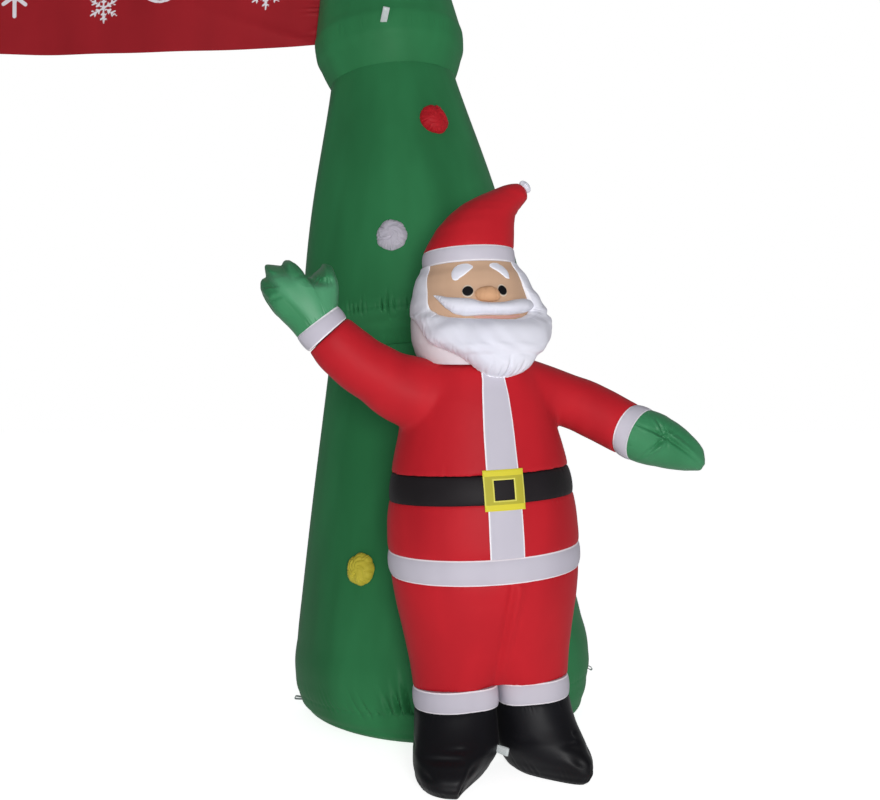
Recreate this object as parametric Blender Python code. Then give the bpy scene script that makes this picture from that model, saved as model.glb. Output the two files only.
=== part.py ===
"""A walk-through arch of two leaning, air-filled fir trees with a banner sewn between them, and a waving
Father Christmas figure that stands in front of the right-hand tree.

Metres, +Z up, and the viewer stands on the -Y side. The origin is on the ground under the middle of the
whole object's box, so the arch's own middle lies a little to its left and behind it. Left and right are the
viewer's.
"""

import math
from collections import namedtuple

import bmesh
import bpy
import numpy as np
from mathutils import Vector

# ---------------------------------------------------------------- driving dimensions

ARCH_MIDDLE = Vector((-0.110, 0.194, 0.0))  # the point on the ground midway between the two trees
HALF_SPAN = 1.452  # from the arch's middle to a tree's axis, at the ground
TREE_LEAN = 0.074  # how far a tree's axis comes inwards for each metre of height, at the ground
TREE_BEND = 0.0054  # and for each square metre of height on top of that
FIGURE_FOOT = Vector((1.584, -0.630, 0.0))  # the ground under the figure's spine, from the arch's middle
FIGURE_TURN = math.radians(11)  # the figure faces a little to the viewer's right
FIGURE_LEAN = 0.055  # how far its spine goes to the viewer's left for each metre of height
FACE_TURN = math.radians(3)  # the head is turned a little further than the body

GAP = 0.0003  # between two panels that are sewn to each other
CLOTH = 0.0010  # thickness of a panel that lies on another one
SHEET = 0.0020  # thickness of the banner
WEBBING = 0.0015  # thickness of the tether loops' tape

TREE_SIDES = 28
BODY_SIDES = 28
CORNER = 180 / BODY_SIDES  # degrees from the nose to the head's nearest corners
LIMB_SIDES = 16
BOOT_SIDES = 20

# ---------------------------------------------------------------- colours of the cloth

COLOURS = {
    "green_nylon": (0.022, 0.120, 0.048),
    "red_nylon": (0.420, 0.016, 0.022),
    "white_nylon": (0.640, 0.630, 0.680),
    "black_nylon": (0.012, 0.012, 0.014),
    "mitten_green_nylon": (0.045, 0.240, 0.095),
    "skin_nylon": (0.600, 0.380, 0.240),
    "lip_nylon": (0.620, 0.330, 0.300),
    "yellow_nylon": (0.620, 0.560, 0.060),
    "white_webbing": (0.600, 0.640, 0.640),
}
ROUGHNESS = 0.55

# ---------------------------------------------------------------- sections, from bottom to top

# height of a section's middle on the tree's axis, and its radius
Ring = namedtuple("Ring", "height radius")

LOWER_TIER = (
    Ring(0.000, 0.400),
    Ring(0.012, 0.428),
    Ring(0.045, 0.457),
    Ring(0.090, 0.475),
    Ring(0.170, 0.487),
    Ring(0.290, 0.471),
    Ring(0.390, 0.453),
    Ring(1.200, 0.290),
)
MIDDLE_TIER = (
    Ring(1.200, 0.290),
    Ring(1.225, 0.322),
    Ring(1.265, 0.358),
    Ring(1.310, 0.377),
    Ring(1.355, 0.371),
    Ring(2.090, 0.208),
)
UPPER_TIER = (
    Ring(2.090, 0.208),
    Ring(2.150, 0.232),
    Ring(2.195, 0.2455),
    Ring(2.225, 0.247),
    Ring(2.260, 0.240),
    Ring(3.100, 0.040),
    Ring(3.165, 0.022),
    Ring(3.190, 0.006),
)
TIERS = {"lower": LOWER_TIER, "middle": MIDDLE_TIER, "upper": UPPER_TIER}
LEVEL_FOOT = 0.090  # below this height the sections turn from square-to-the-axis to level

# height on the spine, half width, half depth; shift to the right of the spine, roll with the right side down
# in degrees, how much lower the front lies, and how far the middle is drawn in between two legs
Section = namedtuple(
    "Section", "height half_width half_depth side roll dip crease", defaults=(0, 0, 0, 0)
)

TROUSERS = (
    Section(0.253, 0.2140, 0.122, crease=0.60),
    Section(0.300, 0.2180, 0.138, crease=0.36),
    Section(0.360, 0.2260, 0.158, crease=0.18),
    Section(0.430, 0.2380, 0.180, dip=0.004, crease=0.07),
    Section(0.500, 0.2500, 0.196, dip=0.011),
    Section(0.555, 0.2565, 0.203, dip=0.017),
)
CREASE_WIDTH = 0.25  # of the half width
COAT_HEM = (
    Section(0.555, 0.2565, 0.203, dip=0.017),
    Section(0.588, 0.2600, 0.207, dip=0.017),
    Section(0.621, 0.2605, 0.210, dip=0.017),
)
COAT_SKIRT = (
    Section(0.621, 0.2605, 0.210, dip=0.017),
    Section(0.670, 0.2580, 0.212, dip=0.014),
    Section(0.753, 0.2510, 0.210, dip=0.011),
)
BELT = (Section(0.753, 0.2510, 0.210, dip=0.011), Section(0.826, 0.2410, 0.203, dip=0.012))
COAT_CHEST = (
    Section(0.826, 0.2410, 0.203, dip=0.012),
    Section(0.876, 0.2310, 0.195, dip=0.008),
    Section(0.930, 0.2170, 0.187, dip=0.005),
    Section(1.000, 0.2030, 0.176, dip=0.005),
    Section(1.050, 0.1880, 0.165, dip=0.008),
    Section(1.090, 0.1690, 0.154, dip=0.018),
    Section(1.120, 0.1470, 0.145, dip=0.030),
)
HEAD = (
    Section(1.120, 0.1470, 0.1450, dip=0.030),
    Section(1.155, 0.1610, 0.1550, dip=0.015),
    Section(1.200, 0.1670, 0.1620),
    Section(1.250, 0.1640, 0.1600),
    Section(1.300, 0.1560, 0.1530),
    Section(1.335, 0.1440, 0.1420),
    Section(1.370, 0.1290, 0.1280),
)
HAT_BAND = (Section(1.370, 0.1290, 0.1280), Section(1.412, 0.1235, 0.1235))
HAT = (
    Section(1.412, 0.1235, 0.1235),
    Section(1.455, 0.1120, 0.1120, side=0.015),
    Section(1.493, 0.0990, 0.0990, side=0.032),
    Section(1.521, 0.0850, 0.0850, side=0.055, roll=4),
    Section(1.542, 0.0690, 0.0690, side=0.083, roll=10),
    Section(1.560, 0.0510, 0.0510, side=0.115, roll=18),
    Section(1.575, 0.0350, 0.0350, side=0.142, roll=30),
    Section(1.584, 0.0180, 0.0200, side=0.158, roll=42),
)
HAT_TIP_HEIGHT = 1.592
HAT_TIP_SIDE = 0.169
HAT_TIP_RADIUS = 0.018

# by which side it is on: its middle right of the spine, its radius, and degrees its toes turn to the right
Leg = namedtuple("Leg", "middle radius splay")
LEGS = {-1: Leg(-0.1035, 0.1110, -17), 1: Leg(0.1110, 0.1020, 31)}
CUFF_TOP = 0.253
CUFF_FOOT = 0.197

# height, how far its middle lies in front of the ankle, and its half length and half width, in leg radii
Sole = namedtuple("Sole", "height forward half_length half_width")
BOOT = (
    Sole(0.000, 0.050, 1.30, 0.66),
    Sole(0.014, 0.050, 1.50, 0.86),
    Sole(0.042, 0.048, 1.60, 1.00),
    Sole(0.080, 0.036, 1.49, 1.03),
    Sole(0.140, 0.014, 1.18, 1.01),
    Sole(CUFF_FOOT, 0.000, 1.00, 1.00),
)

# along an arm, in the figure's own frontal plane: right of its foot, height, half breadth, half depth
Station = namedtuple("Station", "x z breadth depth")
ARM_FRONT = -0.030  # the raised arm's plane lies this far in front of the spine
THUMB_FRONT = -0.036
LOW_ARM_FRONT = -0.012
RAISED_SLEEVE = (
    Station(-0.150, 1.010, 0.102, 0.100),
    Station(-0.244, 1.034, 0.097, 0.092),
    Station(-0.331, 1.077, 0.0815, 0.079),
    Station(-0.406, 1.128, 0.0705, 0.069),
    Station(-0.461, 1.179, 0.0640, 0.063),
)
RAISED_CUFF = (Station(-0.461, 1.179, 0.0640, 0.063), Station(-0.488, 1.2134, 0.0658, 0.060))
RAISED_MITTEN = (
    Station(-0.488, 1.2134, 0.0658, 0.060),
    Station(-0.521, 1.256, 0.0800, 0.058),
    Station(-0.549, 1.291, 0.0800, 0.053),
    Station(-0.571, 1.319, 0.0730, 0.045),
    Station(-0.586, 1.341, 0.0530, 0.034),
    Station(-0.594, 1.355, 0.0240, 0.016),
)
RAISED_THUMB = (
    Station(-0.505, 1.225, 0.0400, 0.036),
    Station(-0.476, 1.270, 0.0400, 0.034),
    Station(-0.464, 1.312, 0.0350, 0.031),
    Station(-0.458, 1.343, 0.0280, 0.026),
    Station(-0.455, 1.362, 0.0120, 0.011),
)
LOW_SLEEVE = (
    Station(0.100, 1.030, 0.092, 0.092),
    Station(0.205, 1.000, 0.077, 0.077),
    Station(0.280, 0.971, 0.0730, 0.073),
    Station(0.350, 0.943, 0.0725, 0.071),
)
LOW_CUFF = (Station(0.350, 0.943, 0.0725, 0.071), Station(0.392, 0.926, 0.0745, 0.069))
LOW_MITTEN = (
    Station(0.392, 0.926, 0.0745, 0.069),
    Station(0.460, 0.897, 0.0745, 0.062),
    Station(0.529, 0.868, 0.0570, 0.046),
    Station(0.575, 0.849, 0.0340, 0.028),
    Station(0.598, 0.841, 0.0120, 0.010),
)
# on the head: degrees to the right of the nose, height, half breadth across the piece, how far it stands out
Feature = namedtuple("Feature", "angle height breadth out")
BEARD_HALF = (
    Feature(0, 1.137, 0.075, 0.085),
    Feature(30, 1.147, 0.072, 0.080),
    Feature(50, 1.182, 0.060, 0.072),
    Feature(63, 1.232, 0.042, 0.050),
    Feature(68, 1.290, 0.028, 0.034),
    Feature(70, 1.345, 0.013, 0.015),
)
MOUSTACHE_HALF = (
    Feature(0, 1.240, 0.0205, 0.027),
    Feature(26, 1.252, 0.0230, 0.026),
    Feature(44, 1.266, 0.0135, 0.018),
    Feature(57, 1.279, 0.0035, 0.006),
)
NOSE_HALF = (
    Feature(0, 1.284, 0.0200, 0.026),
    Feature(7, 1.284, 0.0165, 0.021),
    Feature(11.3, 1.284, 0.0070, 0.010),
)
BROW = (
    Feature(11.5, 1.343, 0.0060, CLOTH),
    Feature(3 * CORNER, 1.346, 0.0135, CLOTH),
    Feature(26, 1.339, 0.0140, CLOTH),
    Feature(5 * CORNER, 1.328, 0.0090, CLOTH),
    Feature(35, 1.323, 0.0035, CLOTH),
)
EYE_ANGLE = 17.5
EYE_HEIGHT = 1.290
EYE_HALF_WIDTH = 0.0130
EYE_HALF_HEIGHT = 0.0155
EYE_ROWS = (-0.95, -0.6, 0, 0.6, 0.95)  # shares of its half height
MOUTH_HALF = (
    Feature(0, 1.2150, 0.0045, CLOTH),
    Feature(CORNER, 1.2150, 0.0042, CLOTH),
    Feature(15, 1.2160, 0.0015, CLOTH),
)
MOUSTACHE_LIFT = 0.004
FACE_LIFT = 3 * GAP
FACE_LOW = 1.205
FACE_LOW_AT_EDGE = 1.285
FACE_ROW = 0.004  # the least height of a row of the face's facets

PLACKET_MIDDLE = 0.011  # right of the spine
PLACKET_HALF = {1.070: 0.030, 1.000: 0.036, 0.876: 0.041, 0.670: 0.045}  # its half width by height
BUCKLE_HALF = 0.052
BUCKLE_WINDOW = 0.026
BUCKLE_CELLS = 8

BANNER_FOOT = 2.222
BANNER_TOP = 2.780
BANNER_SAG = 0.030  # at the middle of its foot
BANNER_SAG_AT_TOP = 0.012
BANNER_BOW = 0.006
BANNER_WAVES = 1.5
BANNER_COLUMNS = 20
BANNER_ROWS = 3

# height on the tree's axis, degrees to the right of its front, colour
Puff = namedtuple("Puff", "name height degrees material")
PUFFS = (
    Puff("red", 1.900, 29, "red_nylon"),
    Puff("white", 1.520, -7, "white_nylon"),
    Puff("yellow", 0.530, -30, "yellow_nylon"),
)
PUFF_RADIUS = 0.049
PUFF_HEIGHT = 0.030

# on a tree's skin; out is the direction it points in, seen on the right tree, and across runs along its slot
TreeLoop = namedtuple("TreeLoop", "name height degrees out across")
TREE_LOOPS = (
    TreeLoop("inner", 0.048, -90, (-1, 0, 0.10), (0, 1, 0)),
    TreeLoop("outer", 0.095, 100, (1, 0, -0.60), (0, 1, 0)),
    TreeLoop("upper", 2.205, -2, (0, -0.8, 0.6), (1, 0, 0)),
)
LOOP_LENGTH = 0.048
LOOP_WIDTH = 0.020
LOOP_BULB = 0.0075  # half the loop's outer thickness at its rounded end
LOOP_BELLY = 0.0060  # at its middle
LOOP_ROOT = 0.0021  # and where it is sewn on
LOOP_BELLY_AT = 0.55  # of the way to the bulb
LOOP_CLEAR = 0.0030  # from the skin to the loop's root
BOOT_LOOP_DEG = -14  # round the left boot, from its inner side towards its toe
BOOT_LOOP_OUT = Vector((0.62, -0.78, 0)).normalized()


# ---------------------------------------------------------------- tools


def clear_scene():
    for obj in list(bpy.data.objects):
        bpy.data.objects.remove(obj, do_unlink=True)


def make_materials():
    """One Principled material for each cloth."""
    for name, colour in COLOURS.items():
        material = bpy.data.materials.new(name)
        material.use_nodes = True
        shader = material.node_tree.nodes["Principled BSDF"]
        shader.inputs["Base Color"].default_value = (*colour, 1.0)
        shader.inputs["Roughness"].default_value = ROUGHNESS
        shader.inputs["Metallic"].default_value = 0.0


def finish(bm, name, material, parent=None, smooth_deg=35):
    """Turns a bmesh into a named, smooth-shaded object with its faces pointing out."""
    bmesh.ops.recalc_face_normals(bm, faces=bm.faces)
    mesh = bpy.data.meshes.new(name)
    bm.to_mesh(mesh)
    bm.free()
    mesh.shade_smooth()
    mesh.set_sharp_from_angle(angle=math.radians(smooth_deg))
    obj = bpy.data.objects.new(name, mesh)
    obj.data.materials.append(bpy.data.materials[material])
    bpy.context.scene.collection.objects.link(obj)
    obj.parent = parent
    return obj


def loft(name, rings, material, parent=None):
    """A closed solid skinned over rings of equally many points, with a flat cap at each end."""
    bm = bmesh.new()
    rows = [[bm.verts.new(point) for point in ring] for ring in rings]
    count = len(rows[0])
    for low, high in zip(rows, rows[1:]):
        for i in range(count):
            j = (i + 1) % count
            bm.faces.new((low[i], low[j], high[j], high[i]))
    bm.faces.new(rows[0][::-1])
    bm.faces.new(rows[-1])
    return finish(bm, name, material, parent)


def shell(name, inner, outer, material, parent=None, keep=None):
    """A closed sheet between two grids of points. keep says which of the grid's cells are cloth."""
    rows, columns = inner.shape[:2]
    keep = np.ones((rows - 1, columns - 1), bool) if keep is None else keep
    bm = bmesh.new()
    corner = {}

    def vertex(side, i, j):
        if (side, i, j) not in corner:
            corner[side, i, j] = bm.verts.new((inner, outer)[side][i, j])
        return corner[side, i, j]

    def is_cloth(i, j):
        return 0 <= i < rows - 1 and 0 <= j < columns - 1 and keep[i, j]

    for i, j in zip(*np.nonzero(keep)):
        cell = ((i, j), (i, j + 1), (i + 1, j + 1), (i + 1, j))
        bm.faces.new([vertex(1, *at) for at in cell])
        bm.faces.new([vertex(0, *at) for at in reversed(cell)])
        beyond = ((i - 1, j), (i, j + 1), (i + 1, j), (i, j - 1))
        for side, neighbour in enumerate(beyond):
            if not is_cloth(*neighbour):
                a, b = cell[side], cell[(side + 1) % 4]
                bm.faces.new((vertex(0, *a), vertex(0, *b), vertex(1, *b), vertex(1, *a)))
    return finish(bm, name, material, parent)


def grown(obj, by):
    """A helper for cutting: a copy of obj whose surface stands out by that much."""
    helper = obj.copy()
    helper.data = obj.data.copy()
    helper.name = obj.name + ".grown"
    helper.modifiers.clear()
    bpy.context.scene.collection.objects.link(helper)
    bm = bmesh.new()
    bm.from_mesh(helper.data)
    bm.normal_update()
    for vertex in bm.verts:
        vertex.co += vertex.normal * by * vertex.calc_shell_factor()
    bm.to_mesh(helper.data)
    bm.free()
    return hide(helper)


def hide(helper):
    helper.hide_render = True
    helper.display_type = "WIRE"
    return helper


def boolean(obj, helper, operation):
    modifier = obj.modifiers.new(operation.lower(), "BOOLEAN")
    modifier.operation = operation
    modifier.object = helper
    modifier.solver = "EXACT"


# ---------------------------------------------------------------- trees


def tree_radius(height):
    rows = LOWER_TIER + MIDDLE_TIER[1:] + UPPER_TIER[1:]
    return float(np.interp(height, [r.height for r in rows], [r.radius for r in rows]))


def axis_x(height):
    """How far a tree's axis is from the arch's middle."""
    return HALF_SPAN - TREE_LEAN * height - TREE_BEND * height**2


def tree_point(side, height, degrees, radius=None):
    """A point on a tree: degrees run from its front to its outer side. side is 1 for the right tree."""
    radius = tree_radius(height) if radius is None else radius
    tilt = (TREE_LEAN + 2 * TREE_BEND * height) * min(1.0, height / LEVEL_FOOT)
    outwards = radius * math.sin(math.radians(degrees))
    front = radius * math.cos(math.radians(degrees))
    x = axis_x(height) + outwards * math.cos(tilt)
    z = height + outwards * math.sin(tilt)
    return ARCH_MIDDLE + Vector((side * x, -front, z))


def tree_normal(side, height, degrees):
    """The outward normal of a tree's skin there."""
    step = 0.004
    across = tree_point(side, height, degrees + 1) - tree_point(side, height, degrees - 1)
    up = tree_point(side, height + step, degrees) - tree_point(side, height - step, degrees)
    return (across.cross(up) * side).normalized()


def make_tree(side, prefix):
    """Three tiers, each closed by flat discs at the necks where they are sewn together."""
    turns = np.arange(TREE_SIDES) * 360.0 / TREE_SIDES
    for tier, rows in TIERS.items():
        rings = []
        for index, row in enumerate(rows):
            shift = GAP / 2 * ((index == 0) - (index == len(rows) - 1)) * (row.height > 0)
            rings.append([tree_point(side, row.height + shift, turn, row.radius) for turn in turns])
        loft(f"{prefix}_tree_{tier}", rings, "green_nylon")


def make_puff(side, prefix, puff):
    """A small stuffed dome with a flat back, sewn on the tree's skin."""
    bm = bmesh.new()
    bmesh.ops.create_uvsphere(bm, u_segments=14, v_segments=8, radius=PUFF_RADIUS)
    for vertex in bm.verts:
        vertex.co.z = max(vertex.co.z, 0.0) * PUFF_HEIGHT / PUFF_RADIUS
    bmesh.ops.remove_doubles(bm, verts=bm.verts, dist=0.0001)
    flat = [f for f in bm.faces if all(abs(v.co.z) < 1e-6 for v in f.verts)]
    bmesh.ops.dissolve_faces(bm, faces=flat)
    obj = finish(bm, f"{prefix}_puff_{puff.name}", puff.material)
    normal = tree_normal(side, puff.height, puff.degrees)
    obj.rotation_euler = normal.to_track_quat("Z", "Y").to_euler()
    obj.location = tree_point(side, puff.height, puff.degrees) + normal * CLOTH


def make_banner():
    """A sheet between the inner sides of the two upper tiers, sagging a little along its foot."""
    ends = np.linspace(-1, 1, BANNER_COLUMNS + 1)
    share = np.linspace(0, 1, BANNER_ROWS + 1)
    u, v = np.meshgrid(ends, share)
    hang = 1 - u**2
    level = BANNER_FOOT + (BANNER_TOP - BANNER_FOOT) * v
    z = level - hang * (BANNER_SAG + (BANNER_SAG_AT_TOP - BANNER_SAG) * v)
    edge = np.vectorize(banner_edge)(level)
    y = BANNER_BOW * np.sin(2 * math.pi * BANNER_WAVES * u) * hang * (1 - v)
    middle = np.array(ARCH_MIDDLE)
    face = np.stack([u * edge, y, z], axis=-1) + middle
    half = np.array([0.0, SHEET / 2, 0.0])
    shell("banner", face + half, face - half, "red_nylon")


def banner_edge(z):
    """Half the banner's length at a height: it ends a millimetre or two short of the tier's skin."""
    clear = 0.0015
    height = z
    for _ in range(4):
        skin = tree_point(1, height, -90)
        height += z - skin.z
    return skin.x - ARCH_MIDDLE.x - clear


def make_loop(name, root, out, across, parent=None):
    """A tether loop: tape folded into a flat teardrop, with its slot along across."""
    out, across = out.normalized(), across.normalized()
    thick = out.cross(across).normalized()
    bulb = LOOP_LENGTH - LOOP_BULB
    angles = np.radians(np.linspace(-105, 105, 7))

    def outline(start, inset):
        """From the pinched root, round the bulb, and back, in (along out, along thick)."""
        radius = LOOP_BULB - inset
        share = radius / LOOP_BULB
        side = [(start, LOOP_ROOT * share), (bulb * LOOP_BELLY_AT, LOOP_BELLY * share)]
        tip = [(bulb + radius * math.cos(a), radius * math.sin(a)) for a in angles]
        return [(a, -b) for a, b in side] + tip + side[::-1]

    outer = outline(0.0, 0.0)
    inner = outline(2.5 * WEBBING, WEBBING)
    bm = bmesh.new()
    walls = []
    for points in (outer, inner):
        for half in (-LOOP_WIDTH / 2, LOOP_WIDTH / 2):
            walls.append([bm.verts.new(root + out * a + thick * b + across * half) for a, b in points])
    outer_near, outer_far, inner_near, inner_far = walls
    count = len(outer)
    for i in range(count):
        j = (i + 1) % count
        bm.faces.new((outer_near[i], outer_near[j], outer_far[j], outer_far[i]))
        bm.faces.new((inner_near[j], inner_near[i], inner_far[i], inner_far[j]))
        bm.faces.new((outer_near[j], outer_near[i], inner_near[i], inner_near[j]))
        bm.faces.new((outer_far[i], outer_far[j], inner_far[j], inner_far[i]))
    return finish(bm, name, "white_webbing", parent)


def make_tree_loops(side, prefix):
    """One loop at each side of the foot, and one on the front of the upper tier's widest seam."""
    for loop in TREE_LOOPS:
        out = Vector((side * loop.out[0], *loop.out[1:]))
        clear = tree_normal(side, loop.height, loop.degrees) if loop.out[0] else out
        root = tree_point(side, loop.height, loop.degrees) + clear * LOOP_CLEAR
        make_loop(f"{prefix}_loop_{loop.name}", root, out, Vector(loop.across))


# ---------------------------------------------------------------- figure


def leaned(x, y, height):
    """Points at x, y from the spine, in the figure's frame: it leans, and so do sections above the ankles."""
    tilt = FIGURE_LEAN * np.clip(height / CUFF_FOOT, 0, 1)
    return np.stack([x - FIGURE_LEAN * height, y, height + tilt * x], axis=-1)


def section_points(section, shift=0.0, twist=0.0):
    """The section's outline: an ellipse, drawn in at its middle by the crease, dipped in front and rolled."""
    turn = np.arange(BODY_SIDES) * 2 * math.pi / BODY_SIDES + twist
    x = section.half_width * np.cos(turn)
    pinch = 1 - section.crease * np.exp(-((np.cos(turn) / CREASE_WIDTH) ** 2))
    y = section.half_depth * np.sin(turn) * pinch
    z = shift + section.dip * y / section.half_depth
    roll = math.radians(section.roll)
    turned_x = x * math.cos(roll) + z * math.sin(roll)
    turned_z = z * math.cos(roll) - x * math.sin(roll)
    return leaned(section.side + turned_x, y, section.height + turned_z)


def make_stack(name, sections, material, figure, twist=0.0):
    """A panel of the figure's body, a hair shorter at both ends than the seams it is sewn at."""
    last = len(sections) - 1
    shifts = [GAP / 2 * ((i == 0) - (i == last)) for i in range(len(sections))]
    rings = [section_points(s, shift, twist) for s, shift in zip(sections, shifts)]
    return loft(name, rings, material, figure)


def body_half(sections, height):
    """(half width, half depth) of a stack at a height, straight between its sections."""
    heights = [s.height for s in sections]
    wide = np.interp(height, heights, [s.half_width for s in sections])
    deep = np.interp(height, heights, [s.half_depth for s in sections])
    return wide, deep


def front_patch(name, sections, across, heights, lift, material, figure, keep=None):
    """Cloth on the facets of the body's front: across is how far right of the spine its points are."""
    rings = [s.height for s in sections]
    wide, deep = body_half(sections, heights)
    dip = np.interp(heights, rings, [s.dip for s in sections])
    turn = np.pi + np.arange(BODY_SIDES // 2 + 1) * 2 * np.pi / BODY_SIDES
    front = np.interp(across / wide, np.cos(turn), np.sin(turn))
    normal = np.stack([across / wide**2, front / deep, np.zeros_like(front)], axis=-1)
    normal /= np.linalg.norm(normal, axis=-1, keepdims=True)
    face = leaned(across, front * deep, heights + dip * front)
    return shell(name, face + normal * lift, face + normal * (lift + CLOTH), material, figure, keep)


def make_placket(name, sections, figure):
    """A white strip down the coat's front, from a seam above to a seam below."""
    low, high = sections[0].height + GAP, sections[-1].height - GAP
    heights = np.unique(np.clip([low, *[s.height for s in sections], high], low, high))
    half = np.interp(heights, sorted(PLACKET_HALF), [PLACKET_HALF[h] for h in sorted(PLACKET_HALF)])
    left = PLACKET_MIDDLE - half
    right = PLACKET_MIDDLE + half
    across = np.stack([left, left / 2, 0 * half, right / 2, right], axis=1)
    rows = np.repeat(heights[:, None], across.shape[1], axis=1)
    front_patch(name, sections, across, rows, GAP * 1.5, "white_nylon", figure)


def make_buckle(figure):
    """A square yellow frame over the belt, with a window that shows the belt."""
    steps = np.linspace(-BUCKLE_HALF, BUCKLE_HALF, BUCKLE_CELLS + 1)
    across, rise = np.meshgrid(PLACKET_MIDDLE + steps, steps)
    middle = (BELT[0].height + BELT[1].height) / 2
    inside = np.abs(steps[:-1] + steps[1:]) / 2 < BUCKLE_WINDOW
    keep = ~(inside[:, None] & inside[None, :])
    body = COAT_SKIRT + BELT[1:] + COAT_CHEST[1:]
    lift = CLOTH + 5 * GAP
    front_patch("buckle", body, across, middle + rise, lift, "yellow_nylon", figure, keep)


def boot_ring(side, row, turn, shift=0.0):
    """Points of a boot's section: turn runs from its right side, by its back, to its left side and toe."""
    leg = LEGS[side]
    splay = math.radians(leg.splay)
    across = leg.radius * row.half_width * np.cos(turn)
    along = leg.radius * row.half_length * np.sin(turn) - row.forward
    x = across * math.cos(splay) - along * math.sin(splay)
    y = across * math.sin(splay) + along * math.cos(splay)
    return leaned(leg.middle + x, y, row.height + shift)


def make_boot(side, name, figure):
    """A soft boot with a flat sole, splayed outwards from the ankle."""
    turn = np.arange(BOOT_SIDES) * 2 * math.pi / BOOT_SIDES
    rings = [boot_ring(side, row, turn, -GAP / 2 * (row is BOOT[-1])) for row in BOOT]
    return loft(name, rings, "black_nylon", figure)


def make_boot_loop(figure):
    """The tether loop on the inner front of the left boot."""
    turn = math.radians(BOOT_LOOP_DEG)
    root = Vector(boot_ring(-1, BOOT[3], np.array([turn]))[0])
    make_loop("boot_loop", root + BOOT_LOOP_OUT * LOOP_CLEAR, BOOT_LOOP_OUT, Vector((0, 0, 1)), figure)


def make_trouser_cuff(side, name, figure):
    """A white band round one leg."""
    turn = np.arange(BOOT_SIDES) * 2 * math.pi / BOOT_SIDES
    rings = []
    for height, shift in ((CUFF_FOOT, GAP / 2), (CUFF_TOP, -GAP / 2)):
        x = LEGS[side].middle + LEGS[side].radius * np.cos(turn)
        rings.append(leaned(x, LEGS[side].radius * np.sin(turn), height + shift))
    return loft(name, rings, "white_nylon", figure)


def directions(points):
    """Unit vectors along a line of points."""
    run = np.gradient(np.array(points), axis=0)
    return run / np.linalg.norm(run, axis=1, keepdims=True)


def make_limb(name, stations, runs, front, material, figure, sides=LIMB_SIDES):
    """An oval tube in the figure's frontal plane, along its stations, a hair short at both ends."""
    turn = np.arange(sides) * 2 * math.pi / sides
    rings = []
    last = len(stations) - 1
    for i, (station, (dx, dz)) in enumerate(zip(stations, runs)):
        inset = GAP / 2 * ((i == 0) - (i == last))
        x = station.x + dx * inset - dz * station.breadth * np.cos(turn)
        z = station.z + dz * inset + dx * station.breadth * np.cos(turn)
        rings.append(np.stack([x, front + station.depth * np.sin(turn), z], axis=-1))
    return loft(name, rings, material, figure)


def head_point(angle, height, out=0.0):
    """A point on the head's facets, degrees to the right of the nose, and the direction out there."""
    turn = math.radians(angle) + FACE_TURN
    from_corner = math.radians(abs(angle % (2 * CORNER) - CORNER))
    facet = math.cos(math.radians(CORNER)) / math.cos(math.radians(CORNER) - from_corner)
    step = 0.01
    wide, deep = body_half(HEAD, [height - step, height, height + step])
    x, y = math.sin(turn) * facet, -math.cos(turn) * facet
    slope = math.hypot(wide[0] * x, deep[0] * y) - math.hypot(wide[2] * x, deep[2] * y)
    away = np.array([math.sin(turn), -math.cos(turn), slope / (2 * step)])
    away /= np.linalg.norm(away)
    return leaned(wide[1] * x, deep[1] * y, height) + away * out, away


def mirrored(half):
    """Features from the left end to the right end, from a table of the right half."""
    return tuple(f._replace(angle=-f.angle) for f in reversed(half[1:])) + tuple(half)


def make_feature(name, features, lift, material, figure, sides=12):
    """An oval tube laid along the head, about a middle line that stands off the skin by lift."""
    frames = [head_point(f.angle, f.height, lift) for f in features]
    line = [point for point, _ in frames]
    turn = np.arange(sides) * 2 * math.pi / sides
    rings = []
    for feature, middle, along, (_, away) in zip(features, line, directions(line), frames):
        across = np.cross(away, along)
        across /= np.linalg.norm(across)
        ring = middle + np.outer(feature.breadth * np.cos(turn), across)
        rings.append(ring + np.outer(feature.out * np.sin(turn), away))
    return loft(name, rings, material, figure)


def make_face(figure):
    """The skin-coloured panel on the front of the head, from the hat band down to the beard."""
    angles = CORNER * np.arange(-9, 10)
    foot = FACE_LOW + (FACE_LOW_AT_EDGE - FACE_LOW) * np.abs(angles / angles[-1]) ** 3
    seams = [FACE_LOW, *[s.height for s in HEAD if s.height > FACE_LOW]]
    seams[-1] -= GAP
    heights = [np.maximum(seam, foot + FACE_ROW * row) for row, seam in enumerate(seams)]
    grids = []
    for lift in (FACE_LIFT, FACE_LIFT + CLOTH):
        rows = [[head_point(a, h, lift)[0] for a, h in zip(angles, row)] for row in heights]
        grids.append(np.array(rows))
    return shell("face", grids[0], grids[1], "skin_nylon", figure)


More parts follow.
